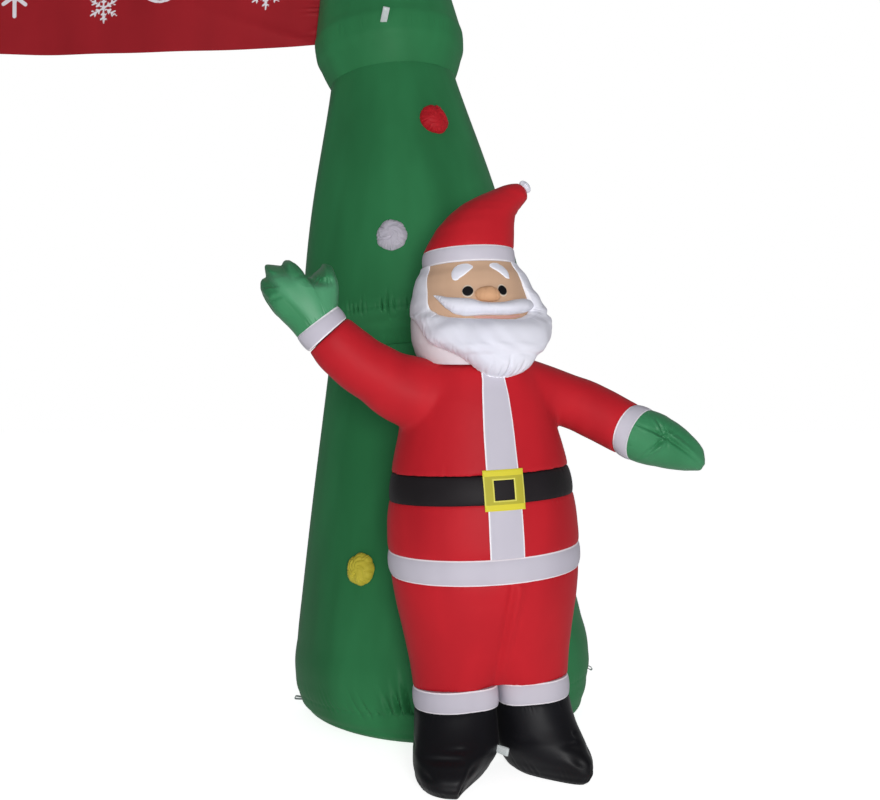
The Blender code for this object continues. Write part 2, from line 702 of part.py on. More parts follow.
def make_head(figure):
    """Head, hat and the features sewn on the face. What presses on a neighbour is cut back to its surface."""
    head = make_stack("head", HEAD, "white_nylon", figure, FACE_TURN - math.radians(CORNER) - math.pi / 2)
    make_face(figure)
    make_stack("hat_band", HAT_BAND, "white_nylon", figure)
    hat = make_stack("hat", HAT, "red_nylon", figure)
    bm = bmesh.new()
    bmesh.ops.create_icosphere(bm, subdivisions=2, radius=HAT_TIP_RADIUS)
    tip = finish(bm, "hat_tip", "white_nylon", figure)
    tip.location = leaned(HAT_TIP_SIDE, 0.0, HAT_TIP_HEIGHT)
    boolean(tip, grown(hat, GAP * 1.5), "DIFFERENCE")

    skin_top = FACE_LIFT + CLOTH
    on_face = skin_top + GAP * 3 + CLOTH
    for side, where in ((-1, "left"), (1, "right")):
        brow = [f._replace(angle=side * f.angle) for f in BROW]
        make_feature(f"brow_{where}", brow, on_face, "white_nylon", figure, sides=8)
        rows = []
        for share in EYE_ROWS:
            half = EYE_HALF_WIDTH * math.sqrt(1 - share**2)
            height = EYE_HEIGHT + share * EYE_HALF_HEIGHT
            rows.append(Feature(side * EYE_ANGLE, height, half, CLOTH))
        make_feature(f"eye_{where}", rows, on_face, "black_nylon", figure, sides=8)
    make_feature("mouth", mirrored(MOUTH_HALF), on_face, "lip_nylon", figure, sides=8)
    nose = make_feature("nose", mirrored(NOSE_HALF), 0.0, "skin_nylon", figure)
    moustache = make_feature("moustache", mirrored(MOUSTACHE_HALF), MOUSTACHE_LIFT, "white_nylon", figure)
    beard = make_feature("beard", mirrored(BEARD_HALF), 0.0, "white_nylon", figure, sides=20)

    clear = skin_top + GAP * 1.5
    head_clear = grown(head, clear)
    for piece in (nose, moustache, beard):
        boolean(piece, head_clear, "DIFFERENCE")
    boolean(nose, grown(moustache, GAP * 1.5), "DIFFERENCE")
    boolean(beard, grown(moustache, GAP * 1.5), "DIFFERENCE")
    return head, beard


def make_arms(chest, head, figure):
    """Two sleeves of one piece with the coat, cut to the head, each with a white cuff and a mitten."""
    arms = (
        ("raised", RAISED_SLEEVE, RAISED_CUFF, RAISED_MITTEN, ARM_FRONT),
        ("low", LOW_SLEEVE, LOW_CUFF, LOW_MITTEN, LOW_ARM_FRONT),
    )
    neck = grown(head, CLOTH)
    for name, sleeve, cuff, mitten, front in arms:
        runs = directions([(s.x, s.z) for s in sleeve + cuff[1:] + mitten[1:]])
        wrist = len(sleeve) - 1
        tube = hide(make_limb(f"sleeve_{name}", sleeve, runs, front, "red_nylon", figure))
        boolean(tube, neck, "DIFFERENCE")
        boolean(chest, tube, "UNION")
        band = make_limb(f"sleeve_cuff_{name}", cuff, runs[wrist:], front, "white_nylon", figure)
        hand = make_limb(f"mitten_{name}", mitten, runs[wrist + 1 :], front, "mitten_green_nylon", figure)
        if name == "raised":
            runs = directions([(s.x, s.z) for s in RAISED_THUMB])
            thumb = hide(
                make_limb("thumb", RAISED_THUMB, runs, THUMB_FRONT, "mitten_green_nylon", figure, sides=12)
            )
            boolean(thumb, grown(band, CLOTH), "DIFFERENCE")
            boolean(hand, thumb, "UNION")


def make_figure():
    """The standing figure, built about its own foot and turned to face the viewer's right."""
    figure = bpy.data.objects.new("figure", None)
    bpy.context.scene.collection.objects.link(figure)
    figure.location = ARCH_MIDDLE + FIGURE_FOOT
    figure.rotation_euler = (0, 0, FIGURE_TURN)

    for side, where in ((-1, "left"), (1, "right")):
        make_boot(side, f"boot_{where}", figure)
        make_trouser_cuff(side, f"trouser_cuff_{where}", figure)
    make_stack("trousers", TROUSERS, "red_nylon", figure)
    make_stack("coat_hem", COAT_HEM, "white_nylon", figure)
    make_stack("coat_skirt", COAT_SKIRT, "red_nylon", figure)
    make_stack("belt", BELT, "black_nylon", figure)
    chest = make_stack("coat_upper", COAT_CHEST, "red_nylon", figure)
    make_placket("placket_lower", COAT_SKIRT, figure)
    make_placket("placket_upper", COAT_CHEST[:5], figure)
    make_buckle(figure)
    head, beard = make_head(figure)
    boolean(beard, grown(chest, CLOTH + 3 * GAP), "DIFFERENCE")
    make_arms(chest, head, figure)

    make_boot_loop(figure)


def main():
    clear_scene()
    make_materials()
    for side, prefix in ((1, "right"), (-1, "left")):
        make_tree(side, prefix)
        make_tree_loops(side, prefix)
        for puff in PUFFS:
            make_puff(side, prefix, puff)
    make_banner()
    make_figure()


main()
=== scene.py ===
"""A walk-through arch of thin nylon cloth, blown up by air: two leaning fir trees with a banner sewn between
them, and a waving Father Christmas figure in front of the right-hand tree.

Metres, +Z up, the viewer on the -Y side; left and right are the viewer's. Each surface is a function of two
parameters: round a chamber and along it, or across a panel and up it.
"""

import math
from collections import namedtuple

import bpy
import numpy as np
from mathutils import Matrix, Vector


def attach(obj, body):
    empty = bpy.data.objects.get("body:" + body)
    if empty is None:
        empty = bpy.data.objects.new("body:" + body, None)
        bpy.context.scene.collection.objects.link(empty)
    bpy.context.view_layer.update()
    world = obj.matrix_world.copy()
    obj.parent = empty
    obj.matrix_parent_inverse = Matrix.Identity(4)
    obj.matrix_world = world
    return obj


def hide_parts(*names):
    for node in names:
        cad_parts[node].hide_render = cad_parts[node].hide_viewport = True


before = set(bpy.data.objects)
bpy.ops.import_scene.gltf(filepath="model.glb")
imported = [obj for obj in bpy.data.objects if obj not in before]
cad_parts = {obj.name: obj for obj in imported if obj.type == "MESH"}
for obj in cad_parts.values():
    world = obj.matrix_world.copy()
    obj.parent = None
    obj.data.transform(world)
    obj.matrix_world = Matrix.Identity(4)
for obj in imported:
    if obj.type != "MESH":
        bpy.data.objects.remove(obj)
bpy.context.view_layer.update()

# ---------------------------------------------------------------- places and sizes, as in the CAD

ARCH_MIDDLE = np.array([-0.110, 0.194, 0.0])
HALF_SPAN = 1.452  # from the arch's middle to the middle of a tree's foot
TREE_LEAN = 0.074  # inwards for each metre up
TREE_BEND = 0.0054  # and for each square metre
LEVEL_FOOT = 0.090  # below it a tree's sections lie less and less askew
FIGURE_FOOT = np.array([1.584, -0.630, 0.0])
FIGURE_TURN = math.radians(11)
FIGURE_LEAN = 0.055  # to the left for each metre up
LEVEL_ANKLE = 0.197  # below it the figure's sections lie less and less askew
FACE_TURN = math.radians(3)
FRONT = -math.pi / 2  # the direction of the figure's front, round its spine
SEAM_CLEAR = 0.00015  # half of what is left between two chambers that are sewn together
GROOVE_REACH = 0.0035  # how far beside a seam the stitches still draw the cloth in
FAR = 1.0  # metres: stands for no seam and no print near a point

# the figure's seams, by their height on its spine
CUFF_FOOT = 0.197
CUFF_TOP = 0.253
HEM_FOOT = 0.555
HEM_TOP = 0.621
BELT_FOOT = 0.753
BELT_TOP = 0.826
NECK = 1.120
HAT_BAND_FOOT = 1.370
HAT_BAND_TOP = 1.412

# ---------------------------------------------------------------- numbers


def eased(x, knots, values):
    """A smooth line through the knots that never swings past them: cubic pieces whose slope at a knot is the
    harmonic mean of the chords beside it, or nothing where the line turns."""
    knots, values = np.asarray(knots, float), np.asarray(values, float)
    step = np.diff(knots)
    chord = np.diff(values) / step
    slope = np.concatenate([chord[:1], np.zeros(len(knots) - 2), chord[-1:]])
    before, after = chord[:-1], chord[1:]
    same = before * after > 0
    near, far = 2 * step[1:] + step[:-1], step[1:] + 2 * step[:-1]
    mean = (near + far) / (near / np.where(same, before, 1) + far / np.where(same, after, 1))
    slope[1:-1] = np.where(same, mean, 0)
    x = np.clip(x, knots[0], knots[-1])
    i = np.clip(np.searchsorted(knots, x, side="right") - 1, 0, len(knots) - 2)
    t = (x - knots[i]) / step[i]
    start = values[i] + t * step[i] * slope[i]
    end = values[i + 1] - (1 - t) * step[i] * slope[i + 1]
    ease = t * t * (3 - 2 * t)
    return start * (1 - ease) + end * ease


def wander(turn, seed, low=1, terms=8):
    """Irregular numbers, mostly within -1 and 1, that close after a turn: sines of low, low + 1, ... waves a
    turn, with phases and weights drawn from the seed."""
    draw = np.random.default_rng(seed)
    phase = draw.random(terms)
    weight = draw.uniform(0.4, 1.0, terms)
    total = np.zeros(np.shape(turn))
    for k in range(terms):
        total += weight[k] * np.sin(2 * np.pi * ((low + k) * turn + phase[k]))
    return 0.6 * total / math.sqrt((weight**2).sum() / 2)


def gathers(turn, away, count, depth, length, seed, sharp=1.5):
    """How far cloth is drawn in beside a seam. turn is the share of the way along the seam, and away is the
    distance from it. Folds are (1 - |sin|)^sharp of an uneven phase, and each one fades over its own
    length."""
    phase = np.pi * (count * turn + 0.9 * wander(turn, seed, 3))
    folds = (1 - np.abs(np.sin(phase))) ** sharp
    reach = length * np.clip(0.8 + 0.5 * wander(turn, seed + 1, max(count // 5, 2), 12), 0.3, 2.0)
    strength = np.clip(0.6 + 0.55 * wander(turn, seed + 2, max(count // 8, 2), 10), 0.05, 1.5)
    return -depth * folds * strength * np.exp(-((away / reach) ** 2))


def groove(away, depth):
    """How far stitches draw the cloth in: depth at the seam, and exp(-away) beside it."""
    return -depth * np.exp(-away / GROOVE_REACH)


def dent(u, v, at, size, depth):
    """A soft hollow, exp(-r^2), about a place in a surface's two parameters."""
    return -depth * np.exp(-(((u - at[0]) / size[0]) ** 2) - ((v - at[1]) / size[1]) ** 2)


def crease(x, z, at, degrees, length, width, depth):
    """A groove with a ridge beside it, on a flat x, z plane: it runs from a place in a direction, fades with
    length like exp(-r^2), and its section is two such bells, one down and a lower one up."""
    c, s = math.cos(math.radians(degrees)), math.sin(math.radians(degrees))
    run = (x - at[0]) * c + (z - at[1]) * s
    off = (z - at[1]) * c - (x - at[0]) * s
    fade = np.exp(-((np.clip(run, 0, None) / length) ** 2)) * np.exp(-((np.clip(run, None, 0) / width) ** 2))
    ridge = 0.8 * np.exp(-(((off - 2.1 * width) / (1.3 * width)) ** 2))
    return depth * fade * (ridge - np.exp(-((off / width) ** 2)))


def line_gap(x, y, a, b):
    """Distance from the straight piece between a and b."""
    run = (b[0] - a[0], b[1] - a[1])
    share = np.clip(((x - a[0]) * run[0] + (y - a[1]) * run[1]) / (run[0] ** 2 + run[1] ** 2), 0, 1)
    return np.hypot(x - a[0] - share * run[0], y - a[1] - share * run[1])


def outline_gap(x, z, corners):
    """Distance outside a closed outline, negative inside it: a point is inside where a level line to its
    right crosses the outline an odd number of times."""
    gap = np.full(x.shape, FAR)
    inside = np.zeros(x.shape, bool)
    for a, b in zip(corners, corners[1:] + corners[:1]):
        gap = np.minimum(gap, line_gap(x, z, a, b))
        spans = (a[1] > z) != (b[1] > z)
        rise = b[1] - a[1] or 1.0
        inside ^= spans & (x < a[0] + (b[0] - a[0]) * (z - a[1]) / rise)
    return np.where(inside, -gap, gap)


def spaced(stops, counts):
    """Rows from the first stop to the last, with that many steps between each two stops."""
    runs = [np.linspace(a, b, n, endpoint=False) for a, b, n in zip(stops, stops[1:], counts)]
    return np.concatenate([*runs, stops[-1:]])


def crowded(count):
    """Shares from 0 to 1, closer together at both ends: (1 - cos)/2."""
    return (1 - np.cos(np.linspace(0, np.pi, count))) / 2


def turns(columns):
    """Shares of a turn, as one row."""
    return (np.arange(columns) / columns)[None, :]


def powered(values, power):
    """Values to a power, with their signs kept."""
    return np.sign(values) * np.abs(values) ** power


def lengths(points):
    """How far along an open line through points each point lies."""
    return np.concatenate([[0], np.cumsum(np.linalg.norm(np.diff(points, axis=0), axis=1))])


def along(points, share):
    """Places at shares of the way along an open line through points: each coordinate, eased over the
    chords."""
    points = np.asarray(points, float)
    at = lengths(points)
    return np.stack([eased(share * at[-1], at, values) for values in points.T], axis=-1)


def unit(vectors):
    """Each vector, one metre long."""
    return vectors / np.maximum(np.linalg.norm(vectors, axis=-1, keepdims=True), 1e-12)


# ---------------------------------------------------------------- meshes


def linked(name, data):
    """A new object in the scene, for a mesh, a lamp or a camera."""
    obj = bpy.data.objects.new(name, data)
    bpy.context.scene.collection.objects.link(obj)
    return obj


SHARP_EDGE = math.radians(50)  # a sharper fold shows as an edge


def skin_volume(points, faces):
    """Six times the volume within closed faces, negative where they point inwards: a*(b x c) over
    triangles."""
    volume = 0.0
    for f in faces:
        for k in range(1, f.shape[1] - 1):
            a, b, c = points[f[:, 0]], points[f[:, k]], points[f[:, k + 1]]
            volume += np.einsum("ij,ij->", a, np.cross(b, c))
    return volume


def as_object(name, points, faces, cloth, seam=None, print_and_painted_light=None):
    """An object from arrays, turned to face outwards: faces is a list of (count, corners) arrays, cloth holds
    each corner's place in the flat cloth, in metres, seam each point's distance from the nearest sewn edge,
    and the last argument each point's distance outside the printed shapes and outside the patches of painted
    light."""
    if skin_volume(points, faces) < 0:
        faces = [f[:, ::-1] for f in faces]
        cloth = [c[:, ::-1] for c in cloth]
    corners = np.concatenate([f.ravel() for f in faces])
    sizes = np.concatenate([np.full(len(f), f.shape[1]) for f in faces])
    mesh = bpy.data.meshes.new(name)
    mesh.vertices.add(len(points))
    mesh.vertices.foreach_set("co", np.asarray(points, np.float32).ravel())
    mesh.loops.add(len(corners))
    mesh.loops.foreach_set("vertex_index", corners.astype(np.int32))
    mesh.polygons.add(len(sizes))
    mesh.polygons.foreach_set("loop_start", (np.cumsum(sizes) - sizes).astype(np.int32))
    mesh.update(calc_edges=True)
    uv = mesh.uv_layers.new(name="cloth")
    flat = np.concatenate([c.reshape(-1, 2) for c in cloth])
    uv.uv.foreach_set("vector", flat.astype(np.float32).ravel())
    seam = np.full(len(points), FAR) if seam is None else seam
    for field, values in (("seam", seam), ("print_and_painted_light", print_and_painted_light)):
        if values is not None:
            attribute = mesh.attributes.new(field, "FLOAT", "POINT")
            attribute.data.foreach_set("value", values.astype(np.float32))
    mesh.shade_smooth()
    mesh.set_sharp_from_angle(angle=SHARP_EDGE)
    return linked(name, mesh)


def tube_arrays(rings):
    """Points, faces and cloth places of a closed skin over rings (rows, columns, 3), with a fan of triangles
    over each end."""
    rows, columns = rings.shape[:2]
    index = np.arange(rows * columns).reshape(rows, columns)
    beside = np.roll(index, -1, axis=1)
    walls = np.stack([index[:-1], beside[:-1], beside[1:], index[1:]], axis=-1).reshape(-1, 4)
    foot = np.stack([beside[0], index[0], np.full(columns, rows * columns)], axis=-1)
    top = np.stack([index[-1], beside[-1], np.full(columns, rows * columns + 1)], axis=-1)
    points = np.concatenate([rings.reshape(-1, 3), [rings[0].mean(axis=0)], [rings[-1].mean(axis=0)]])
    girth = np.linalg.norm(np.roll(rings, -1, axis=1) - rings, axis=-1).sum(axis=1).max()
    u = np.linspace(0, girth, columns + 1)
    climb = np.linalg.norm(np.diff(rings, axis=0), axis=-1).mean(axis=1)
    v = np.concatenate([[0], np.cumsum(climb)])
    flat = np.stack(np.broadcast_arrays(u[None, :], v[:, None]), axis=-1)
    quads = np.stack([flat[:-1, :-1], flat[:-1, 1:], flat[1:, 1:], flat[1:, :-1]], axis=2).reshape(-1, 4, 2)
    fans = [np.stack([flat[r, 1:], flat[r, :-1], (flat[r, 1:] + flat[r, :-1]) / 2], axis=1) for r in (0, -1)]
    return points, [walls, foot, top], [quads, *fans]


def tube(name, rings, seam=None):
    """An object from rings. seam is each ring point's distance from the nearest seam."""
    points, faces, cloth = tube_arrays(rings)
    if seam is not None:
        seam = np.concatenate([np.broadcast_to(seam, rings.shape[:2]).ravel(), [FAR, FAR]])
    return as_object(name, points, faces, cloth, seam)


def sheet(name, front, back, seam=None, print_and_painted_light=None):
    """A closed sheet: two grids (rows, columns, 3) of equal size, joined round their edge."""
    rows, columns = front.shape[:2]
    index = np.arange(rows * columns).reshape(rows, columns)
    cells = np.stack([index[:-1, :-1], index[:-1, 1:], index[1:, 1:], index[1:, :-1]], axis=-1).reshape(-1, 4)
    edge = np.concatenate([index[0, :-1], index[:-1, -1], index[-1, :0:-1], index[:0:-1, 0]])
    onward = np.roll(edge, -1)
    shift = rows * columns
    rim = np.stack([onward, edge, edge + shift, onward + shift], axis=-1)
    across = np.linalg.norm(np.diff(front, axis=1), axis=-1)
    up = np.linalg.norm(np.diff(front, axis=0), axis=-1)
    u = np.concatenate([np.zeros((rows, 1)), np.cumsum(across, axis=1)], axis=1)
    v = np.concatenate([np.zeros((1, columns)), np.cumsum(up, axis=0)], axis=0)
    flat = np.stack([u, v], axis=-1).reshape(-1, 2)
    faces = [cells, cells[:, ::-1] + shift, rim]
    both = np.concatenate([flat, flat])
    points = np.concatenate([front.reshape(-1, 3), back.reshape(-1, 3)])
    if seam is not None:
        seam = np.tile(np.broadcast_to(seam, (rows, columns)).ravel(), 2)
    if print_and_painted_light is not None:
        print_and_painted_light = np.tile(print_and_painted_light.ravel(), 2)
    return as_object(name, points, faces, [both[f] for f in faces], seam, print_and_painted_light)


def fused(parts, voxel):
    """One closed skin round overlapping closed parts, by a voxel remesh: its points and four-sided faces."""
    points = []
    faces = []
    start = 0
    for part in parts:
        places, cells, _ = tube_arrays(part)
        for corners in cells:
            faces += (corners + start).tolist()
        points.append(places)
        start += len(places)
    mesh = bpy.data.meshes.new("fused")
    mesh.from_pydata(np.concatenate(points).tolist(), [], faces)
    obj = linked("fused", mesh)
    remesh = obj.modifiers.new("remesh", "REMESH")
    remesh.mode = "VOXEL"
    remesh.voxel_size = voxel
    remesh.adaptivity = 0.0
    whole = obj.evaluated_get(bpy.context.evaluated_depsgraph_get()).to_mesh()
    co = np.empty(len(whole.vertices) * 3, np.float32)
    whole.vertices.foreach_get("co", co)
    corners = np.empty(len(whole.loops), np.int32)
    whole.loops.foreach_get("vertex_index", corners)
    bpy.data.objects.remove(obj, do_unlink=True)
    return co.reshape(-1, 3).astype(float), corners.reshape(-1, 4)


def relaxed(points, quads, weight, rounds):
    """Each round moves a point half way, times its weight, towards the mean of its neighbours."""
    starts, stops = quads.ravel(), np.roll(quads, -1, axis=1).ravel()
    ends, others = np.concatenate([starts, stops]), np.concatenate([stops, starts])
    count = np.bincount(ends, minlength=len(points))[:, None]
    for _ in range(rounds):
        mean = np.stack([np.bincount(ends, points[others, k], len(points)) for k in range(3)], axis=1) / count
        points = points + (0.5 * weight)[:, None] * (mean - points)
    return points


def quad_normals(points, quads):
    """Unit normals at the points of a closed skin of four-sided faces."""
    face = np.cross(points[quads[:, 2]] - points[quads[:, 0]], points[quads[:, 3]] - points[quads[:, 1]])
    total = np.zeros_like(points)
    for k in range(4):
        np.add.at(total, quads[:, k], face)
    return unit(total)


# ---------------------------------------------------------------- materials


def linear(code):
    """An sRGB hex colour as linear light."""
    srgb = np.array([int(code[i : i + 2], 16) / 255 for i in (1, 3, 5)])
    return tuple(np.where(srgb <= 0.04045, srgb / 12.92, ((srgb + 0.055) / 1.055) ** 2.4)) + (1.0,)


def add(tree, kind, settings=None, links=None):
    """Adds a node. settings holds its properties and its sockets' values, and links what feeds its
    sockets."""
    node = tree.nodes.new(kind)
    for key, value in (settings or {}).items():
        if isinstance(key, str) and hasattr(node, key):
            setattr(node, key, value)
        else:
            node.inputs[key].default_value = value
    for key, source in (links or {}).items():
        tree.links.new(source, node.inputs[key])
    return node


def new_material(name):
    """A material, its node tree and its shader."""
    material = bpy.data.materials.new(name)
    material.use_nodes = True
    tree = material.node_tree
    return material, tree, tree.nodes["Principled BSDF"]


WAVE_SCALE = 0.314  # a wave texture's scale times the metres between its bands
THREADS = 0.0016  # taffeta's lie about 0.15 mm apart: they are drawn ten times as coarse, to show at all
RIBS = 0.002  # between the ribs of woven tape
CRINKLE_SCALE = 0.35 / 0.022  # crinkles 22 mm apart, of thin coated cloth that has been folded up small
DOUBLE_CLOTH = (0.0022, 0.0045)  # how far from a seam the turned-in cloth ends, and the change fades


def taffeta(name, colour, shade, rough=0.55, edge=None, print_and_painted_light=None, blend=0.0006, crinkle=0.25, shine=0.12):
    """Nylon taffeta, coated inside: a plain weave of fine threads, taut, with a broad soft sheen. It is thin,
    so its colour drifts a little between colour and shade, in upright streaks, and its edges, where the
    turned-in cloth lies double behind the seam, have the colour edge. Screen-printed shapes, and patches of
    painted light where light comes through the cloth, have the colour given for print and painted light,
    which blends in over twice blend metres."""
    material, tree, shader = new_material(name)
    place = add(tree, "ShaderNodeTexCoord")
    upright = add(tree, "ShaderNodeMapping", {"Scale": (1.0, 1.0, 0.25)}, {"Vector": place.outputs["Object"]})
    drift = add(
        tree,
        "ShaderNodeTexNoise",
        {"Scale": 5.0, "Detail": 3.0, "Roughness": 0.5},
        {"Vector": upright.outputs["Vector"]},
    )
    spread = add(
        tree,
        "ShaderNodeMapRange",
        {"From Min": 0.35, "From Max": 0.65, "To Min": 0.0, "To Max": 1.0},
        {"Value": drift.outputs["Fac"]},
    )
    cloth = add(
        tree,
        "ShaderNodeMix",
        {"data_type": "RGBA", 6: linear(shade), 7: linear(colour)},
        {"Factor": spread.outputs["Result"]},
    )
    # brighter double cloth along the seams, then printed shapes and patches of painted light, each mixed in
    # by its distance
    for field, paint, full, none in (("seam", edge, *DOUBLE_CLOTH), ("print_and_painted_light", print_and_painted_light, -blend, blend)):
        if paint:
            away = add(tree, "ShaderNodeAttribute", {"attribute_name": field})
            share = add(
                tree,
                "ShaderNodeMapRange",
                {"From Min": full, "From Max": none, "To Min": 1.0, "To Max": 0.0},
                {"Value": away.outputs["Fac"]},
            )
            cloth = add(
                tree,
                "ShaderNodeMix",
                {"data_type": "RGBA", 7: linear(paint)},
                {"Factor": share.outputs["Result"], 6: cloth.outputs[2]},
            )
    tree.links.new(cloth.outputs[2], shader.inputs["Base Color"])

    flat = add(tree, "ShaderNodeUVMap", {"uv_map": "cloth"})
    warp, weft = (
        add(
            tree,
            "ShaderNodeTexWave",
            {"bands_direction": direction, "Scale": WAVE_SCALE / THREADS, "Distortion": 0.0},
            {"Vector": flat.outputs["UV"]},
        )
        for direction in ("X", "Y")
    )
    threads = {0: warp.outputs["Fac"], 1: weft.outputs["Fac"]}
    woven = add(tree, "ShaderNodeMath", {"operation": "MULTIPLY"}, threads)
    fold = add(
        tree,
        "ShaderNodeTexNoise",
        {"noise_type": "RIDGED_MULTIFRACTAL", "Scale": CRINKLE_SCALE, "Detail": 3.0},
        {"Vector": place.outputs["Object"]},
    )
    fine = add(
        tree, "ShaderNodeBump", {"Strength": 0.10, "Distance": 0.0004}, {"Height": woven.outputs["Value"]}
    )
    bump = add(
        tree,
        "ShaderNodeBump",
        {"Strength": crinkle, "Distance": 0.0016},
        {"Height": fold.outputs["Fac"], "Normal": fine.outputs["Normal"]},
    )
    tree.links.new(bump.outputs["Normal"], shader.inputs["Normal"])
    gloss = add(
        tree,
        "ShaderNodeMapRange",
        {"From Min": 0.3, "From Max": 0.7, "To Min": rough - 0.05, "To Max": rough + 0.06},
        {"Value": drift.outputs["Fac"]},
    )
    tree.links.new(gloss.outputs["Result"], shader.inputs["Roughness"])
    shader.inputs["Specular IOR Level"].default_value = shine
    shader.inputs["Sheen Weight"].default_value = 0.02
    shader.inputs["Sheen Roughness"].default_value = 0.4
    return material


def webbing(name, colour, shade):
    """Woven polyester tape: matt, with fine ribs across its length, painted pale where they stand up and
    darker between them: painted highlight on the ribs and painted shade in the hollows.
    """
    material, tree, shader = new_material(name)
    flat = add(tree, "ShaderNodeUVMap", {"uv_map": "cloth"})
    rib = add(
        tree,
        "ShaderNodeTexWave",
        {"bands_direction": "X", "Scale": WAVE_SCALE / RIBS, "Distortion": 0.0},
        {"Vector": flat.outputs["UV"]},
    )
    # painted light: the colour follows the ribs' height, paler on their tops and darker in the hollows
    # between them
    tone = add(
        tree,
        "ShaderNodeMix",
        {"data_type": "RGBA", 6: linear(shade), 7: linear(colour)},
        {"Factor": rib.outputs["Fac"]},
    )
    tree.links.new(tone.outputs[2], shader.inputs["Base Color"])
    bump = add(tree, "ShaderNodeBump", {"Strength": 0.5, "Distance": 0.0005}, {"Height": rib.outputs["Fac"]})
    tree.links.new(bump.outputs["Normal"], shader.inputs["Normal"])
    shader.inputs["Roughness"].default_value = 0.75
    return material


MATERIALS = {
    # deep green, so matt that a cone shows only a broad pale flank
    "green_nylon": taffeta("green_taffeta", "#33804F", "#2A6E42"),
    # a full red, even and matt
    "red_nylon": taffeta("red_taffeta", "#C0202A", "#AE1C26"),
    # a cool grey white, brighter where the cloth lies double along its seams
    "white_nylon": taffeta("white_taffeta", "#C4C0CB", "#B9B5C1", edge="#EEEAF0", crinkle=0.2),
    # the same cloth over a pale one, so brighter, and crumpled
    "beard": taffeta("bright_white_taffeta", "#DFDFE9", "#D5D5E1", edge="#F0F0F7", crinkle=0.35),
    # the same cloth, a little pinker, and even
    "head": taffeta("grey_white_taffeta", "#D7D0D5", "#CEC6CC", crinkle=0.2),
    # nearly black, with a low soft shine and many small crinkles
    "black_nylon": taffeta("black_taffeta", "#141418", "#101013", crinkle=0.6, rough=0.45, shine=0.18),
    # flat black, with a pale cut edge
    "eye": taffeta("eye_taffeta", "#121215", "#0E0E11", edge="#D6C6B4"),
    # black with light behind it, so brownish
    "belt": taffeta("faded_black_taffeta", "#231F22", "#1C191B"),
    # a lighter green, creased and shinier, with painted light: a paler patch on the palm, where light comes
    # through the cloth
    "mitten_green_nylon": taffeta(
        "mitten_taffeta",
        "#3E885C",
        "#337B50",
        print_and_painted_light="#4D936A",
        blend=0.006,
        crinkle=0.5,
        rough=0.42,
        shine=0.25,
    ),
    # matt and smooth, a pale tan
    "skin_nylon": taffeta("skin_taffeta", "#C9A68B", "#BF9C81", crinkle=0.15),
    # a warmer tan, because the stuffed nose lets light through
    "nose": taffeta("nose_taffeta", "#CFA17C", "#C69772", crinkle=0.3),
    # darker red than the coat, screen-printed in white
    "banner": taffeta("printed_red_taffeta", "#A6212A", "#971E26", print_and_painted_light="#E9E4EA"),
    # dull pink, smooth
    "lip_nylon": taffeta("lip_taffeta", "#CF9C90", "#C48F84", crinkle=0.15),
    # a crumpled, uneven yellow
    "yellow_nylon": taffeta("yellow_taffeta", "#DACE4E", "#BDB13C", crinkle=0.7),
    # thin yellow over black and red, brighter at its edges and past the belt
    "buckle": taffeta("buckle_taffeta", "#B7B03C", "#A8A136", edge="#DAD463", print_and_painted_light="#D3C83C", crinkle=0.5),
    # greyish white and ribbed, with painted shade between the ribs
    "white_webbing": webbing("tape", "#D6DCDC", "#BFC6C6"),
}


def settle(piece, slot, node, material=None):
    """Gives a piece its material and its body, and hides node, the part of model.glb that it stands for."""
    piece.data.materials.append(MATERIALS[material or slot])
    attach(piece, "root")
    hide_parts(node)


# ---------------------------------------------------------------- trees

Ring = namedtuple("Ring", "height radius")  # a circle round a tree's axis
LOWER_TIER = (
    Ring(0.000, 0.400),
    Ring(0.012, 0.428),
    Ring(0.045, 0.457),
    Ring(0.090, 0.475),
    Ring(0.170, 0.487),
    Ring(0.290, 0.471),
    Ring(0.390, 0.453),
    Ring(1.200, 0.290),
)
MIDDLE_TIER = (
    Ring(1.200, 0.290),
    Ring(1.225, 0.322),
    Ring(1.265, 0.358),
    Ring(1.310, 0.377),
    Ring(1.355, 0.371),
    Ring(2.090, 0.208),
)
UPPER_TIER = (
    Ring(2.090, 0.208),
    Ring(2.150, 0.232),
    Ring(2.195, 0.2455),
    Ring(2.225, 0.247),
    Ring(2.260, 0.240),
    Ring(3.100, 0.040),
    Ring(3.165, 0.022),
    Ring(3.190, 0.006),
)

# a sewn seam round a tier: its height, how many creases run from it, how deep they are, how far they reach
# above and below it, how deep the seam itself lies, and over how many degrees the creases stay deep
Seam = namedtuple("Seam", "height count depth above below groove spread", defaults=(1000,))
# a tier: its rings, the heights between which its rows are spaced, how many rows lie there, columns, and
# seams
Tier = namedtuple("Tier", "rings stops counts columns seams")
TIERS = {
    "lower": Tier(
        LOWER_TIER,
        (0.0, 0.030, 0.210, 0.320, 1.120, 1.200),
        (8, 40, 10, 18, 12),
        800,
        (Seam(0.115, 96, 0.0160, 0.046, 0.014, 0.0022, 27), Seam(1.200, 90, 0.0016, 0.0, 0.020, 0.0010)),
    ),
    "middle": Tier(
        MIDDLE_TIER,
        (1.200, 1.360, 1.440, 2.010, 2.090),
        (38, 10, 12, 8),
        960,
        (
            Seam(1.200, 70, 0.0040, 0.030, 0.0, 0.0020),
            Seam(1.310, 140, 0.0140, 0.026, 0.020, 0.0016),
            Seam(2.090, 70, 0.0008, 0.0, 0.020, 0.0008),
        ),
    ),
    "upper": Tier(
        UPPER_TIER,
        (2.090, 2.260, 2.340, 3.060, 3.190),
        (36, 8, 22, 12),
        480,
        (Seam(2.090, 60, 0.0008, 0.020, 0.0, 0.0010), Seam(2.208, 96, 0.0016, 0.022, 0.014, 0.0004)),
    ),
}
